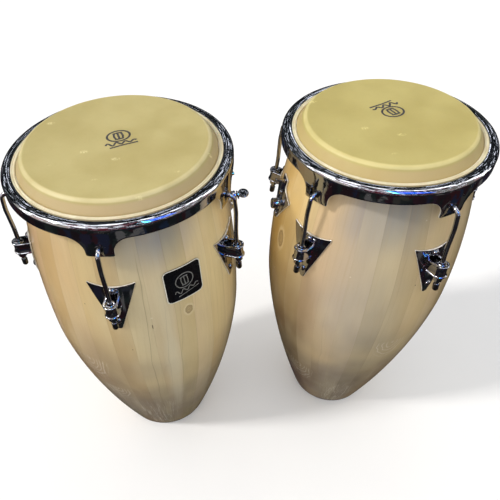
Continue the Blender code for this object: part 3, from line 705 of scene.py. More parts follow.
# EDGE paints a highlight on rounded edges of the plating
EDGE = edge_highlight_material()
ZINC = plated_material()
BLACK_CAP = black_material("black_vinyl", 0.22)
BADGE_BLACK = black_material("black_enamel", 0.16)
BADGE_LINE = print_material("badge_print", (0.19, 0.19, 0.18), (0.06, 0.06, 0.06))
BADGE_BORDER = print_material("badge_border", (0.80, 0.78, 0.68), (0.55, 0.52, 0.42))
INK = print_material("head_print", (0.035, 0.034, 0.042), (0.20, 0.17, 0.12))


# ---------------- shell

def collar_line(drum, offset, steps):
    """The head's outer line from its flat to its collar's foot, moved inwards by offset."""
    centre = (drum.rim - FLAT_INSET, HEAD_TOP - EDGE_ROUND)
    end = 90 - degrees(COLLAR_SLOPE)
    line = arc(*centre, EDGE_ROUND - offset, 90, end, steps)
    foot_radius = drum.rim - COLLAR_INSET
    edge_radius, edge_height = arc(*centre, EDGE_ROUND, end, end, 1)[0]
    foot_height = edge_height - (foot_radius - edge_radius) * tan(COLLAR_SLOPE)
    line.append((foot_radius - offset * sin(COLLAR_SLOPE),
                 foot_height - offset * cos(COLLAR_SLOPE)))
    return line


def make_shell(drum, outside, inside):
    """A turned wall, open at both ends and drilled for every bolt."""
    edge = [(r, z) for r, z in collar_line(drum, SKIN + GAP, 10) if r < drum.radius(z) - GAP]
    top = edge[-1][1] - 0.002
    rounded = 0.0025
    outer = [(drum.radius(z), z) for z in spaced(top, rounded, 90)]
    foot = arc(drum.base - rounded, rounded, rounded, 0, -90, 5)[1:]
    inner_foot = arc(drum.base - SHELL_WALL + rounded, rounded, rounded, -90, -180, 5)
    inner_top = edge[0][1] - 0.003
    inner = [(drum.radius(z) - SHELL_WALL, z) for z in spaced(0.006, 0.66, 50)]
    inner.append((edge[0][0] - 0.0035, inner_top))
    profile = edge + outer + foot + inner_foot + inner
    shell = drum.piece("staves", *lathe(profile, DRUM_SIDES))
    holes = [(azimuth, z) for azimuth in drum.lugs for z in LUG_BOLTS]
    holes += [(drum.bracket, z) for z in BRACKET_BOLTS]
    drill = lathe([(0.0, 0.0), (0.0034, 0.0), (0.0034, 0.04), (0.0, 0.04)], 20, closed=False)
    cut(shell, join_parts([moved(drill, off_shell(drum, z, -0.025, a)) for a, z in holes]))
    shell.data.shade_smooth()
    shell.data.set_sharp_from_angle(angle=radians(40))
    finish_piece(shell, drum, drum.body, [f"{drum.name}_shell"], [outside, inside])
    for face in shell.data.polygons:
        away = hypot(face.center.x, face.center.y)
        face.material_index = 1 if away < drum.radius(face.center.z) - 0.004 else 0


# ---------------- head and flesh hoop

def skin_height(drum, x, y):
    """Height of the head's playing face, which is a little worn and uneven."""
    away = hypot(x, y) / (drum.rim - FLAT_INSET)
    if away >= 1:
        return HEAD_TOP
    ripple = noise.noise(Vector((x, y, drum.rim)) * 14)
    return HEAD_TOP - (0.0003 + 0.0003 * ripple) * (1 - away ** 4)


def make_head(drum, hide):
    """The hide from its playing face over the edge and down the collar to the hoop."""
    foot = 0.6822
    line = collar_line(drum, 0.0, 16)
    reach = line[0][0]
    top = [(reach * n / 24, HEAD_TOP) for n in range(24)]
    (start, high), (end, low) = line[-2:]
    wall = [(start + (end - start) * t, high + (low - high) * t) for t in (0.25, 0.5, 0.75, 1.0)]
    tuck = [(drum.radius(foot) + GAP + SKIN, foot)]
    inside = [(drum.radius(foot) + GAP, foot)] + collar_line(drum, SKIN, 16)[::-1]
    profile = top + line[:-1] + wall + tuck + inside + [(0.0, HEAD_TOP - SKIN)]
    head = drum.piece("hide", *lathe(profile, DRUM_SIDES, closed=False))
    for vertex in head.data.vertices:
        if vertex.co.z > HEAD_TOP - 0.0001:
            vertex.co.z = skin_height(drum, vertex.co.x, vertex.co.y)
    finish_piece(head, drum, drum.body, [f"{drum.name}_head"], [hide])


def make_hoop(drum, hide):
    """The hide rolled round its hoop, seen as two beads inside the rim that are painted pale as a
    highlight.
    """
    line = arc(drum.rim - 0.0124, RIM_HEIGHT + 0.0027, 0.0017, -50, 155, 10)
    line += arc(drum.rim - 0.0159, RIM_HEIGHT + 0.0027, 0.0019, 25, 200, 10)
    line += arc(drum.rim - 0.0140, RIM_HEIGHT - 0.0002, 0.0033, 190, 340, 8)
    hoop = drum.piece("hide_roll", *lathe(line, DRUM_SIDES), sharp=60)
    finish_piece(hoop, drum, drum.tuning, [f"{drum.name}_flesh_hoop"], [hide])


# ---------------- rim

def skirt_bottom(across):
    """Depth of the rim's lower edge at a distance round the rim from an ear's middle."""
    side = EAR_HALF_WIDTH
    if across <= side:
        corner = max(across - (side - EAR_CORNER), 0.0)
        return -EAR_DEPTH + EAR_CORNER - sqrt(EAR_CORNER ** 2 - corner ** 2)
    if across >= side + EAR_FILLET:
        return -SKIRT_DEPTH
    reach = side + EAR_FILLET - across
    return -SKIRT_DEPTH - EAR_FILLET + sqrt(EAR_FILLET ** 2 - reach ** 2)


def rim_section(drum, azimuth, bottom):
    """A cross-section of the rim: its crown over the hoop, its skirt and a rounded lower edge."""
    half = RIM_METAL / 2
    wall = SHOULDER_ROUND - SHOULDER_IN

    def crown(metal, start, end, steps):
        return [(-0.0060 + x * (0.0105 - metal), -0.0020 + y * (0.0075 - metal))
                for x, y in arc(0, 0, 1.0, start, end, steps)]

    over = crown(0.0, 117, 0, 16)
    lip = arc(-FLANGE_INSET + 0.0008, 0.0037, 0.0009, 290, 160, 6)
    top = over[-1][1]
    skirt = [(wall, top + (bottom + half - top) * n / 8) for n in range(1, 9)]
    edge = arc(wall - half, bottom + half, half, 0, -180, 6)[1:]
    back = [(wall - RIM_METAL, bottom + half + (top - bottom - half) * n / 8) for n in range(1, 8)]
    points = []
    for radial, height in lip + over + skirt + edge + back + crown(RIM_METAL, 0, 105, 10):
        radius = drum.rim + radial
        points.append(Vector((radius * sin(azimuth), -radius * cos(azimuth),
                              RIM_HEIGHT + height)))
    return points


def make_rim(drum):
    side = EAR_HALF_WIDTH
    steps = [side * n / 10 for n in range(9)]
    steps += [side - EAR_CORNER * (1 - sin(radians(a))) for a in (15, 35, 55, 72, 84, 90)]
    steps += [side + EAR_FILLET * (1 - cos(radians(a))) for a in range(6, 91, 7)]
    steps = sorted(set(round(step, 6) for step in steps))
    plain = side + EAR_FILLET
    half_way = LUG_STEP / 2 * drum.rim
    steps = [step for step in steps if step < plain]
    steps += [plain + (half_way - plain) * n / 10 for n in range(11)]
    sections = []
    for middle in (drum.lugs[0] + LUG_STEP * n for n in range(LUGS)):
        marks = [-step for step in reversed(steps[1:-1])] + steps
        sections += [rim_section(drum, middle + mark / drum.rim, skirt_bottom(abs(mark)))
                     for mark in marks]
    rim = drum.piece("comfort_rim", *loft(sections, closed_path=True), sharp=40)
    drill = lathe([(0.0, 0.0), (ROD_HOLE, 0.0), (ROD_HOLE, 0.03), (0.0, 0.03)], 28, closed=False)
    frames = [turn(a) @ Matrix.Translation((0, -drum.rim + 0.012, HOOK_HEIGHT))
              @ Matrix.Rotation(pi / 2, 4, "X") for a in drum.lugs]
    cut(rim, join_parts([moved(drill, place) for place in frames]))
    rim.data.shade_smooth()
    rim.data.set_sharp_from_angle(angle=radians(40))
    finish_piece(rim, drum, drum.tuning, [f"{drum.name}_rim"], [CHROME, EDGE])
    # the skirt's rounded lower edge takes the painted edge highlight
    for face in rim.data.polygons:
        out = Vector((face.center.x, face.center.y, 0)).normalized()
        low = face.center.z < RIM_HEIGHT - SKIRT_DEPTH + 0.003
        face.material_index = 1 if low and abs(face.normal.dot(out)) < 0.75 else 0


# ---------------- tuning hooks, nuts and lugs

def rod_frame(drum):
    """Frame at azimuth 0 with its origin on the rod at the strap and +Z up the rod."""
    foot = drum.radius(STRAP_HEIGHT) + 0.020
    head = drum.rim - SHOULDER_IN + SHOULDER_ROUND + HOOK_BEND
    lean = atan2(foot - head, HOOK_HEIGHT - HOOK_BEND - STRAP_HEIGHT)
    return Matrix.Translation((0, -foot, STRAP_HEIGHT)) @ Matrix.Rotation(-lean, 4, "X")


def make_hook(drum, number):
    """The bent rod with its threaded foot, and the black cap on its end."""
    place = rod_frame(drum)
    wall = drum.rim - SHOULDER_IN + SHOULDER_ROUND
    bow = ((-0.036, 0.0), (-0.020, 0.0), (0.0, 0.0), (0.015, 0.0), (0.030, 0.0002), (0.042, 0.0008),
           (0.054, 0.0018), (0.066, 0.0028), (0.078, 0.0036))
    straight = [place @ Vector((0, -out, up)) for up, out in bow]
    under = HOOK_HEIGHT - HOOK_BEND
    bend = [Vector((0, -wall - HOOK_REACH * sin(a), under + HOOK_BEND * cos(a)))
            for a in map(radians, (85, 68, 51, 34, 17, 0))]
    tip = [Vector((0, y, z)) for y, z in
           arc(0.0065 - wall, HOOK_HEIGHT + 0.0045, 0.0045, 285, 360, 3)]
    path = smooth_path(straight + bend + tip, 5)
    end = len(path) - 1
    radii = [ROD if n < end - 1 else ROD * (0.85, 0.55)[n - end + 1] for n in range(end + 1)]
    rod = drum.piece(f"rod_{number + 1}", *tube(path, radii, 24))
    # rolled thread on the foot of the rod, between the strap and the cap
    coil = []
    for n in range(THREAD_TURNS * 16):
        angle = tau * n / 16
        coil.append(place @ Vector((ROD * cos(angle), ROD * sin(angle),
                                    THREAD_FOOT + THREAD_PITCH * n / 16)))
    thread = drum.piece(f"thread_{number + 1}", *tube(coil, [0.00028] * len(coil), 5))
    cap = [(0.0, -0.0420), (0.0018, -0.0419), (0.0034, -0.0412), (0.0045, -0.0398),
           (0.0048, -0.0380), (0.0048, -0.0305), (0.0050, -0.0302), (0.0050, -0.0292),
           (0.0046, THREAD_FOOT), (0.0, THREAD_FOOT)]
    cap = drum.piece(f"rod_cap_{number + 1}", *lathe(cap, 28, closed=False), sharp=50)
    cap.data.transform(place)
    seat = Matrix.Translation((0, -wall, HOOK_HEIGHT)) @ Matrix.Rotation(pi / 2, 4, "X")
    grommet = moved(washer(ROD, 0.0062, 0.0001, 0.0010), seat)
    grommet = drum.piece(f"grommet_{number + 1}", *grommet, sharp=50)
    around = turn(drum.lugs[number])
    node = [f"{drum.name}_hook_{number + 1}"]
    for piece, look in ((grommet, BLACK_CAP), (rod, CHROME_SMALL), (thread, CHROME_SMALL),
                        (cap, BLACK_CAP)):
        finish_piece(piece, drum, drum.tuning, node, [look], around)


def hex_profile(flats, height, bore, chamfer=0.0008):
    """A hexagon nut with chamfered corners and a countersunk bore."""
    sides = 60
    levels = [(0.0, -chamfer), (chamfer * 0.55, 0.0), (chamfer * 1.4, 0.02),
              (height - chamfer * 1.4, 0.02), (height - chamfer * 0.55, 0.0), (height, -chamfer)]
    rings = []
    for z, limit in levels:
        ring = []
        for angle in round_angles(sides):
            off = (angle + pi / 6) % (pi / 3) - pi / 6
            radius = min(flats / 2 / cos(off), flats / 2 + limit + 0.0004)
            ring.append(Vector((radius * cos(angle), radius * sin(angle), z)))
        rings.append(ring)
    for z, radius in ((height, bore + 0.0006), (height - 0.0006, bore), (0.0006, bore),
                      (0.0, bore + 0.0006)):
        rings.append([Vector((radius * cos(a), radius * sin(a), z)) for a in round_angles(sides)])
    return loft(rings, closed_path=True)


def washer(inner, outer, low, high, ease=0.0003):
    line = [(outer, low + ease), (outer - ease, low), (inner + ease, low), (inner, low + ease)]
    line += [(r, high - (z - low)) for r, z in reversed(line)]
    return lathe(line, 40)


def make_nut(drum, number):
    joint = drum.nuts[number]
    axis = Vector(joint["axis"])
    place = Matrix.Translation(Vector(joint["pos_m"]) - drum.centre) @ axis.to_track_quat(
        "Z", "Y").to_matrix().to_4x4()
    nut = hex_profile(NUT_FLATS, NUT_HEIGHT - 0.0018, ROD_HOLE)
    ring = washer(ROD_HOLE, 0.0086, NUT_HEIGHT - 0.0016, NUT_HEIGHT)
    body = f"{drum.name}_nut_{number + 1}"
    for part, label in ((nut, "tuning_nut"), (ring, "nut_washer")):
        piece = drum.piece(f"{label}_{number + 1}", *part, sharp=28)
        finish_piece(piece, drum, body, [body], [CHROME_SMALL], place)


def sheet(drum, outline, middle, metal, shape, rings=16, edge=0.0007):
    """A pressed plate round the shell: an outline, a rounded edge and a shape(x, z) of its face."""
    def loop(part, rise, face):
        ring = []
        for x, z in outline:
            across = x * part
            height = middle + (z - middle) * part
            ring.append(drum.bent(across, height, rise + (shape(across, height) if face else 0.0)))
        return ring

    low = PLATE_LIFT
    high = PLATE_LIFT + metal
    sizes = [0.02] + [0.98 * n / rings for n in range(1, rings)]
    loops = [loop(size, low, False) for size in sizes + [0.985]]
    loops += [loop(0.985 + 0.015 * sin(a), (low + edge) - edge * cos(a), False)
              for a in (pi / 6, pi / 3, pi / 2)]
    loops += [loop(0.985 + 0.015 * sin(a), (high - edge) - edge * cos(a), False)
              for a in (pi / 2, 2 * pi / 3, 5 * pi / 6)]
    loops += [loop(size, high, True) for size in [0.985] + sizes[::-1]]
    return loft(loops)


def pale_edges(plate):
    """Gives the second material, the painted edge highlight, to a plate's rounded edge."""
    for face in plate.data.polygons:
        face.material_index = 1 if abs(face.normal.y) < 0.80 else 0


def divided(outline, step):
    """A closed outline with points no further apart than step."""
    points = []
    for (x0, z0), (x1, z1) in zip(outline, outline[1:] + outline[:1]):
        parts = max(1, ceil(hypot(x1 - x0, z1 - z0) / step))
        points += [(x0 + (x1 - x0) * n / parts, z0 + (z1 - z0) * n / parts) for n in range(parts)]
    return points


def plate_outline():
    """Hollow top edge, blunt corners and a round tip."""
    half, top, hollow, tip, round_tip = 0.0365, 0.5815, 0.0060, 0.4860, 0.0050
    upper = [(half * 0.985 * t, top - hollow * (1 - t * t)) for t in spaced(1, -1, 10)]
    left = [(-half, top - 0.0009), (-half * 0.985, top - 0.0024)]
    right = [(half * 0.985, top - 0.0024), (half, top - 0.0009)]
    return divided(upper + left + arc(0, tip + round_tip, round_tip, 205, 335, 8) + right, 0.003)


def plate_face(x, z):
    """Rise of the boss that is pressed out under the strap and bolts."""
    boss = max(0.0, 1 - (x / 0.0150) ** 2) * max(0.0, 1 - ((z - 0.5385) / 0.047) ** 2)
    return 0.0012 * min(1.0, 2.2 * boss)


def strap_ring(half_width, back, fillet, hollow):
    """The strap's line from above: legs that widen into the plate and a round front."""
    line = [(-half_width - fillet, back), (-half_width - fillet * 0.45, back - fillet * 0.25),
            (-half_width - fillet * 0.12, back - fillet * 0.6), (-half_width, back - fillet)]
    front = arc(0, 0, half_width, 180, 360, 22)
    line += front + [(-x, y) for x, y in reversed(line)]
    return line + [(hollow, back)] + arc(0, 0, hollow, 360, 180, 22) + [(-hollow, back)]


def make_lug(drum, number):
    """A pressed side plate, the strap on it and the sleeve that the rod runs through."""
    around = turn(drum.lugs[number])
    node = [f"{drum.name}_lug_plate_{number + 1}"]
    plate = sheet(drum, plate_outline(), PLATE_MIDDLE, PLATE_METAL, plate_face)
    plate = drum.piece(f"side_plate_{number + 1}", *plate, sharp=50)
    place = rod_frame(drum)
    back = 0.020 - PLATE_LIFT - PLATE_METAL * 0.4
    flange, neck = 0.0112, 0.0097
    upper = [(0.0070, neck), (0.0080, neck + 0.0003), (0.0084, flange - 0.0007), (0.0090, flange),
             (0.0105, flange), (0.0110, flange - 0.0006)]
    levels = [(-z, width) for z, width in reversed(upper)] + [(0.0, neck - 0.0003)] + upper
    rings = [[place @ Vector((x, y, z)) for x, y in strap_ring(width, back, 0.0016, 0.0078)]
             for z, width in levels]
    strap = drum.piece(f"strap_{number + 1}", *loft(rings), sharp=40)
    # the strap's flanges take the painted edge highlight
    below = place.inverted()
    for face in strap.data.polygons:
        face.material_index = int(abs((below @ face.center).z) > STRAP_FLANGE)
    sleeve = [(0.0079, -0.0107), (ROD_HOLE + 0.0005, -0.0107), (ROD_HOLE, -0.0100),
              (ROD_HOLE, 0.0112), (ROD_HOLE + 0.0006, 0.0120), (0.0062, 0.0122), (0.0068, 0.0116),
              (0.0070, 0.0100), (0.0079, 0.0096)]
    sleeve = drum.piece(f"swivel_{number + 1}", *moved(lathe(sleeve, 36), place), sharp=35)
    for piece in (plate, strap, sleeve):
        finish_piece(piece, drum, drum.body, node, [CHROME_SMALL, EDGE], around)
    pale_edges(plate)


# ---------------- bolts and what holds them inside

def bolt_part(length, metal):
    """A pan-head bolt seen from its head at z = 0 upwards, with its shank below."""
    head = [(0.0, 0.0034), (0.0012, 0.0034), (0.0025, 0.0031), (0.0038, 0.0025), (0.0049, 0.0015),
            (0.0054, 0.0004), (0.0054, 0.0001), (0.0028, 0.0), (0.0028, -length),
            (0.0022, -length - 0.0008), (0.0, -length - 0.0008)]
    return moved(lathe(head, 28, closed=False), Matrix.Translation((0, 0, metal)))


def make_fixings(drum, label, node, azimuth, heights, metal, ease):
    """Two bolts in one plate, with the strip and the nuts that they are screwed into inside."""
    face = PLATE_LIFT + metal + ease
    bolts = []
    for height in heights:
        place = off_shell(drum, height, face)
        bolts.append(moved(bolt_part(SHELL_WALL + 0.0085 + metal, 0.0006), place))
        bolts.append(moved(washer(0.0030, 0.0062, 0.0, 0.0006, 0.0002), place))
    bolts = drum.piece(f"{label}_bolts", *join_parts(bolts), sharp=35)
    low = min(heights) - 0.010
    high = max(heights) + 0.010
    loops = []
    for n, height in enumerate(spaced(low, high, 16)):
        fall = min(n, 16 - n)
        half = 0.0075 if fall > 1 else (0.0055, 0.0070)[fall]
        wall = -(drum.radius(height) - SHELL_WALL - 0.0018)
        loops.append([Vector((x, wall + y, height)) for x, y in
                      ((-half, 0.0002), (-half + 0.0004, 0), (half - 0.0004, 0), (half, 0.0002),
                       (half, 0.0023), (half - 0.0004, 0.0025), (-half, 0.0025), (-half, 0.0023))])
    inner = [loft(loops)]
    for height in heights:
        deep = off_shell(drum, height, -SHELL_WALL - 0.0018 - 0.0028 - 0.0042)
        inner.append(moved(hex_profile(0.0100, 0.0042, 0.0030, 0.0005), deep))
    strip = drum.piece(f"{label}_backing", *join_parts(inner), sharp=30)
    for piece, finish in ((bolts, CHROME_SMALL), (strip, ZINC)):
        finish_piece(piece, drum, drum.body, [node], [finish], turn(azimuth))


# ---------------- stand bracket and thumb screw

def make_bracket(drum):
    neck, shoulder, half, tip = 0.0110, 0.5900, 0.0365, 0.5380
    right = [(neck - 0.0015, 0.6200), (neck, 0.6185), (neck, 0.6060), (neck + 0.0012, 0.6035),
             (half - 0.0015, shoulder + 0.0012), (half, shoulder),
             (half - 0.0010, shoulder - 0.0018)]
    left = [(-x, z) for x, z in reversed(right)]
    outline = divided(right + arc(0, tip + 0.006, 0.006, 335, 205, 8) + left, 0.003)

    def face(x, z):
        swell = max(0.0, 1 - (x / 0.017) ** 2) * max(0.0, 1 - ((z - 0.571) / 0.036) ** 2)
        return 0.0010 * min(1.0, 2.0 * swell)

    plate = sheet(drum, outline, BRACKET_MIDDLE, BRACKET_METAL, face)
    plate = drum.piece("kite_plate", *plate, sharp=50)
    rise = PLATE_LIFT + BRACKET_METAL
    socket = [(0.0110, 0.0), (0.0105, 0.0012), (0.0094, 0.0022), (0.0090, 0.0035),
              (0.0090, 0.0112), (0.0082, 0.0120), (0.0050, 0.0120), (0.0042, 0.0112),
              (0.0042, 0.0016), (0.0060, 0.0)]
    peg = [(0.0, -0.001), (0.0042, -0.001), (0.0042, 0.0006), (0.0030, 0.0016), (0.0030, 0.0148),
           (0.0022, 0.0158), (0.0, 0.0160)]
    parts = [moved(lathe(socket, 40), off_shell(drum, SOCKET_HEIGHT, rise)),
             moved(lathe(peg, 24, closed=False), off_shell(drum, 0.6120, rise))]
    bosses = drum.piece("socket", *join_parts(parts), sharp=35)
    for piece in (plate, bosses):
        finish_piece(piece, drum, drum.body, [f"{drum.name}_stand_bracket"], [CHROME_SMALL, EDGE],
                     turn(drum.bracket))
    pale_edges(plate)


def make_thumb_screw(drum):
    """Threaded spindle, collar and an oval wing that is dished on both faces."""
    place = off_shell(drum, SOCKET_HEIGHT, PLATE_LIFT + BRACKET_METAL, drum.bracket)
    spindle = [(0.0, 0.0030), (0.0028, 0.0030), (0.0034, 0.0038)]
    for n in range(9):
        spindle += [(0.0034, 0.0040 + 0.0012 * n), (0.0030, 0.0046 + 0.0012 * n)]
    spindle += [(0.0034, 0.0148), (0.0070, 0.0148), (0.0075, 0.0152), (0.0075, 0.0163),
                (0.0070, 0.0166), (0.0046, 0.0168), (0.0042, 0.0190), (0.0, 0.0210)]
    spindle = drum.piece("screw_spindle", *lathe(spindle, 32, closed=False), sharp=40)
    section = [(0.02, 0.0007), (0.50, 0.0007), (0.66, 0.0009), (0.76, 0.0013), (0.88, 0.0016),
               (0.95, 0.0013), (0.99, 0.0007), (1.0, 0.0)]
    section += [(size, -side) for size, side in reversed(section[:-1])]
    rings = [[Vector((0.0119 * size * cos(a), side, 0.0261 + 0.0094 * size * sin(a)))
              for a in round_angles(48)] for size, side in section]
    wing = drum.piece("screw_wing", *loft(rings), sharp=40)
    node = f"{drum.name}_stand_screw"
    for piece in (spindle, wing):
        finish_piece(piece, drum, node, [node], [CHROME_SMALL], place)


# ---------------- badge and prints

def ribbon(line, width, low, high, closed):
    """A flat strip with bevelled edges along a line of (x, y) points."""
    count = len(line)
    rings = []
    for n, (x, y) in enumerate(line):
        before = line[n - 1] if n or closed else line[n]
        after = line[(n + 1) % count] if n < count - 1 or closed else line[n]
        ahead = Vector((after[0] - before[0], after[1] - before[1])).normalized()
        side = Vector((-ahead.y, ahead.x)) * width / 2
        rings.append([Vector((x + side.x * k, y + side.y * k, z)) for k, z in
                      ((1.0, low), (1.0, (low + high) / 2), (0.6, high), (-0.6, high),
                       (-1.0, (low + high) / 2), (-1.0, low))])
    return loft(rings, closed_path=closed)


def emblem(low, high, width):
    """A ring round a small barrel, over a wavy line and a bar: a plain sign 28 mm wide."""
    lines = [([(0.0100 * cos(a), 0.0088 * sin(a)) for a in round_angles(44)], True)]
    for across in (-0.0030, 0.0, 0.0030):
        bow = across * 1.25
        lines.append(([(across, -0.0050), (bow, -0.0015), (bow, 0.0015), (across, 0.0048)], False))
    lines += [([(-0.0044, 0.0048), (0.0, 0.0053), (0.0044, 0.0048)], False),
              ([(-0.0040, -0.0050), (0.0, -0.0055), (0.0040, -0.0050)], False)]
    wave = [(-0.0135 + 0.027 * t, -0.0122 + 0.0026 * sin(t * 22) * (1 - 0.6 * t))
            for t in spaced(0, 1, 60)]
    lines += [(wave, False), ([(-0.0110, -0.0176), (0.0, -0.0164), (0.0140, -0.0160)], False)]
    return join_parts([ribbon(line, width, low, high, closed) for line, closed in lines])


def make_badge(drum):
    half, corner, height = 0.0325, 0.0085, 0.5523
    azimuth = drum.lugs[0] + LUG_STEP / 2 + radians(0.8)

    def rounded_square(reach, steps):
        line = []
        for quarter, (x, z) in enumerate(((1, 1), (-1, 1), (-1, -1), (1, -1))):
            line += arc(x * (half - corner), z * (half - corner), reach - (half - corner),
                        90 * quarter, 90 * quarter + 90, steps)
        return line

    outline = [(x, z + height) for x, z in divided(rounded_square(half, 8), 0.003)]
    metal = 0.0009
    plate = sheet(drum, outline, height, metal, lambda x, z: 0.0, edge=0.0004)
    plate = drum.piece("badge_plate", *plate, sharp=50)
    lift = PLATE_LIFT + metal

    def laid_on(label, part, finish):
        points = [drum.bent(p.x, height + p.y, lift + p.z) for p in part[0]]
        put_on(drum.piece(label, points, part[1], sharp=50), finish)

    def put_on(piece, finish):
        node = [f"{drum.name}_badge"]
        finish_piece(piece, drum, drum.body, node, [finish], turn(azimuth))

    border = divided(rounded_square(half - 0.0010, 8), 0.003)
    laid_on("badge_border", ribbon(border, 0.0017, -0.0004, 0.00025, True), BADGE_BORDER)
    place = Matrix.Translation((0.0010, 0.0050, 0)) @ turn(radians(6)) @ Matrix.Scale(1.52, 4)
    laid_on("badge_sign", moved(emblem(-0.0002, 0.00022, 0.0011), place), BADGE_LINE)
    put_on(plate, BADGE_BLACK)


def make_print(drum, x, y, heading):
    """Ink lines that follow the head, a tenth of a millimetre thick."""
    points, faces = emblem(0.0, 0.0001, 0.0019)
    size = Matrix.Diagonal((1.72, 1.62, 1, 1))
    place = Matrix.Translation((x, y, 0)) @ turn(radians(heading)) @ size
    points = [place @ Vector(point) for point in points]
    points = [Vector((p.x, p.y, p.z + skin_height(drum, p.x, p.y))) for p in points]
    sign = drum.piece("head_print", points, faces, sharp=50)
    finish_piece(sign, drum, drum.body, [], [INK])


# ---------------- the pair

# where each head is printed, and which way the print is turned, in degrees
PRINTS = {"conga": (0.003, 0.012, 14.0), "quinto": (0.010, 0.016, 200.0)}


def make_drum(drum):
    outside = staves_material(drum, lacquered=True)
    inside = staves_material(drum, lacquered=False)
    hide = hide_material(drum)
    make_shell(drum, outside, inside)
    make_head(drum, hide)
    make_hoop(drum, roll_material(drum))
    make_rim(drum)
    for number in range(LUGS):
        make_hook(drum, number)
        make_nut(drum, number)
        make_lug(drum, number)
        make_fixings(drum, f"lug_{number + 1}", f"{drum.name}_lug_fixing_{number + 1}",
                     drum.lugs[number], LUG_BOLTS, PLATE_METAL, 0.0011)
    make_bracket(drum)
    make_fixings(drum, "bracket", f"{drum.name}_bracket_fixing", drum.bracket, BRACKET_BOLTS,
                 BRACKET_METAL, 0.0008)
    make_print(drum, *PRINTS[drum.name])


for DRUM in DRUMS:
    make_drum(DRUM)
make_thumb_screw(CONGA)
make_badge(CONGA)


# ---------------- stage, light and camera

def make_floor():
    """A pale floor, which polished metal sees as the dark floor of a shop."""
    floor = mesh_object("floor", [(-9, -9, 0), (9, -9, 0), (9, 9, 0), (-9, 9, 0)], [(0, 1, 2, 3)])
    floor.location.z = -0.0002
    s = Shader("pale_floor", Roughness=0.9, Emission_Color=(1.0, 1.0, 1.0, 1.0))
    path = s.node("ShaderNodeLightPath").outputs
    seen_by_camera = Value(s, path["Is Camera Ray"])
    grain = s.noise(s.place, 3.0, 2.0)
    seen = s.mix(s.spread(grain, 0.3, 0.7), (0.76, 0.76, 0.765), (0.78, 0.78, 0.78))
    s.set("Base Color", s.mix(seen_by_camera, (0.50, 0.49, 0.47), seen))
    s.set("Emission Strength", seen_by_camera * 0.11)
    _, lucky, kind, _ = s.cells(s.place, 7.0, "CHEBYCHEV")
    tint = s.ramp(kind, [(0.0, (0.020, 0.026, 0.024)), (0.4, (0.010, 0.011, 0.013)),
                         (0.7, (0.035, 0.012, 0.014)), (0.85, (0.012, 0.022, 0.045)),
                         (1.0, (0.05, 0.045, 0.035))])
    tint = s.mix(s.spread(lucky, 0.90, 0.93), tint, (0.12, 0.115, 0.11))
    dark = s.node("ShaderNodeEmission", {"Color": tint})
    s.choose(path["Is Glossy Ray"], s.surface, dark, "Material Output")
    floor.data.materials.append(s.material)


def make_world():
    """An even pale sky for light, and a dark shop with rows of lamps in it for reflections."""
    world = bpy.data.worlds.new("studio")
    bpy.context.scene.world = world
    world.use_nodes = True
    s = Nodes(world.node_tree)
    sky = s.tree.nodes["Background"]
    sky.inputs["Color"].default_value = (0.985, 0.99, 1.0, 1.0)
    sky.inputs["Strength"].default_value = 0.84
    way = s.node("ShaderNodeTexCoord").outputs["Generated"]
    x, y, up = s.parts(way)
    _, lucky, kind, _ = s.cells(way, 12.0, "CHEBYCHEV")
    _, small, tone, _ = s.cells(way, 26.0, "CHEBYCHEV")

    wall = s.ramp(tone, [(0.0, (0.003, 0.004, 0.005)), (0.6, (0.012, 0.016, 0.018)),
                         (0.85, (0.05, 0.055, 0.06)), (1.0, (0.20, 0.21, 0.22))])
    behind = s.spread(y, 0.05, -0.10)
    overhead = s.spread(y, -0.06, -0.03) * s.spread(y, 0.18, 0.15) * s.spread(lucky, 0.50, 0.54)
    row = (s.spread(lucky, 0.62, 0.66) * s.spread(x, 0.03, -0.03) * behind
           * (s.spread(up, 0.60, 0.65) * s.spread(up, 0.90, 0.85)))
    colour = s.mix(overhead.most(row), wall, (4.0, 4.0, 4.1))
    spark = s.spread(small, 0.92, 0.94) * s.spread(up, 0.10, 0.25, 0.3, 1.0)
    colour = s.mix(spark, colour, (2.6, 2.7, 3.0))
    red = s.spread(kind, 0.88, 0.90) * behind * 0.85
    room = s.node("ShaderNodeBackground", {"Color": s.mix(red, colour, (0.50, 0.02, 0.06))})
    glossy = s.node("ShaderNodeLightPath").outputs["Is Glossy Ray"]
    s.choose(glossy, sky, room, "World Output")


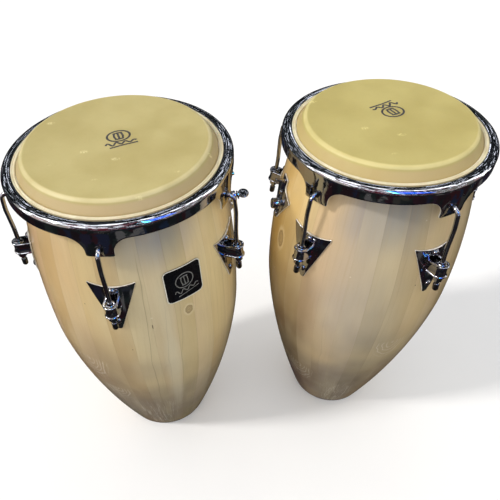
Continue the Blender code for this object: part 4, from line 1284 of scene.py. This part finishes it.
def make_lights():
    """A key from high on the left, low fills without shadows, and three panels."""
    for name, energy, angle, colour, travel in (
            ("key", 1.75, 7, (1.0, 0.97, 0.93), Vector((0.72, 0.11, -0.72))),
            ("left_fill", 0.45, 60, (1.0, 0.93, 0.80), Vector((0.95, 0.22, -0.20))),
            ("right_fill", 0.18, 60, (1.0, 0.95, 0.82), Vector((-0.80, 0.40, -0.25)))):
        sun = bpy.data.objects.new(name, bpy.data.lights.new(name, "SUN"))
        sun.data.energy = energy
        sun.data.angle = radians(angle)
        sun.data.color = colour
        sun.data.use_shadow = name == "key"
        sun.rotation_euler = travel.to_track_quat("-Z", "Y").to_euler()
        bpy.context.scene.collection.objects.link(sun)
    # light thrown between the drums, and a blue sign over the viewer that only the chrome shows
    between = CONGA.centre + Vector((0.195, -0.04, 0.58))
    panel("bounce", between, (1, 0, 0), (0.20, 0.30), 0.12, (1.0, 0.88, 0.62))
    for name, across, width, power, colour in (("sign", 0.62, 0.70, 10.0, (0.0, 0.13, 1.0)),
                                               ("sign_end", 0.20, 0.14, 6.0, (0.10, 0.70, 1.0))):
        light = panel(name, Vector((across, -1.02, 2.45)), (0, 1, 0), (width, 2.30), power, colour)
        light.visible_glossy = True
        light.visible_diffuse = False


def panel(name, middle, facing, size, power, colour):
    """A rectangle of light that the camera doesn't see."""
    lamp = bpy.data.lights.new(name, "AREA")
    lamp.shape = "RECTANGLE"
    lamp.size, lamp.size_y = size
    lamp.energy = power
    lamp.color = colour
    light = bpy.data.objects.new(name, lamp)
    light.location = middle
    light.rotation_euler = Vector(facing).to_track_quat("-Z", "Z").to_euler()
    light.visible_camera = False
    light.visible_glossy = False
    bpy.context.scene.collection.objects.link(light)
    return light


def make_camera():
    """A hand-held view from above the drums' playing side."""
    camera = bpy.data.objects.new("camera", bpy.data.cameras.new("camera"))
    camera.data.lens = 35.69
    camera.data.sensor_width = 36.0
    camera.data.shift_x = 0.0688
    camera.data.shift_y = 0.0674
    stand = Vector((CONGA.centre.x + 0.0956, CONGA.centre.y - 0.6599, 1.108))
    tilt = Matrix.Rotation(radians(42.05), 4, "X")
    camera.matrix_world = (Matrix.Translation(stand) @ turn(radians(-3.54))
                           @ tilt @ turn(radians(-2.89)))
    bpy.context.scene.collection.objects.link(camera)
    bpy.context.scene.camera = camera


make_camera()
make_lights()
make_world()
make_floor()
bpy.context.scene.view_settings.view_transform = "Standard"
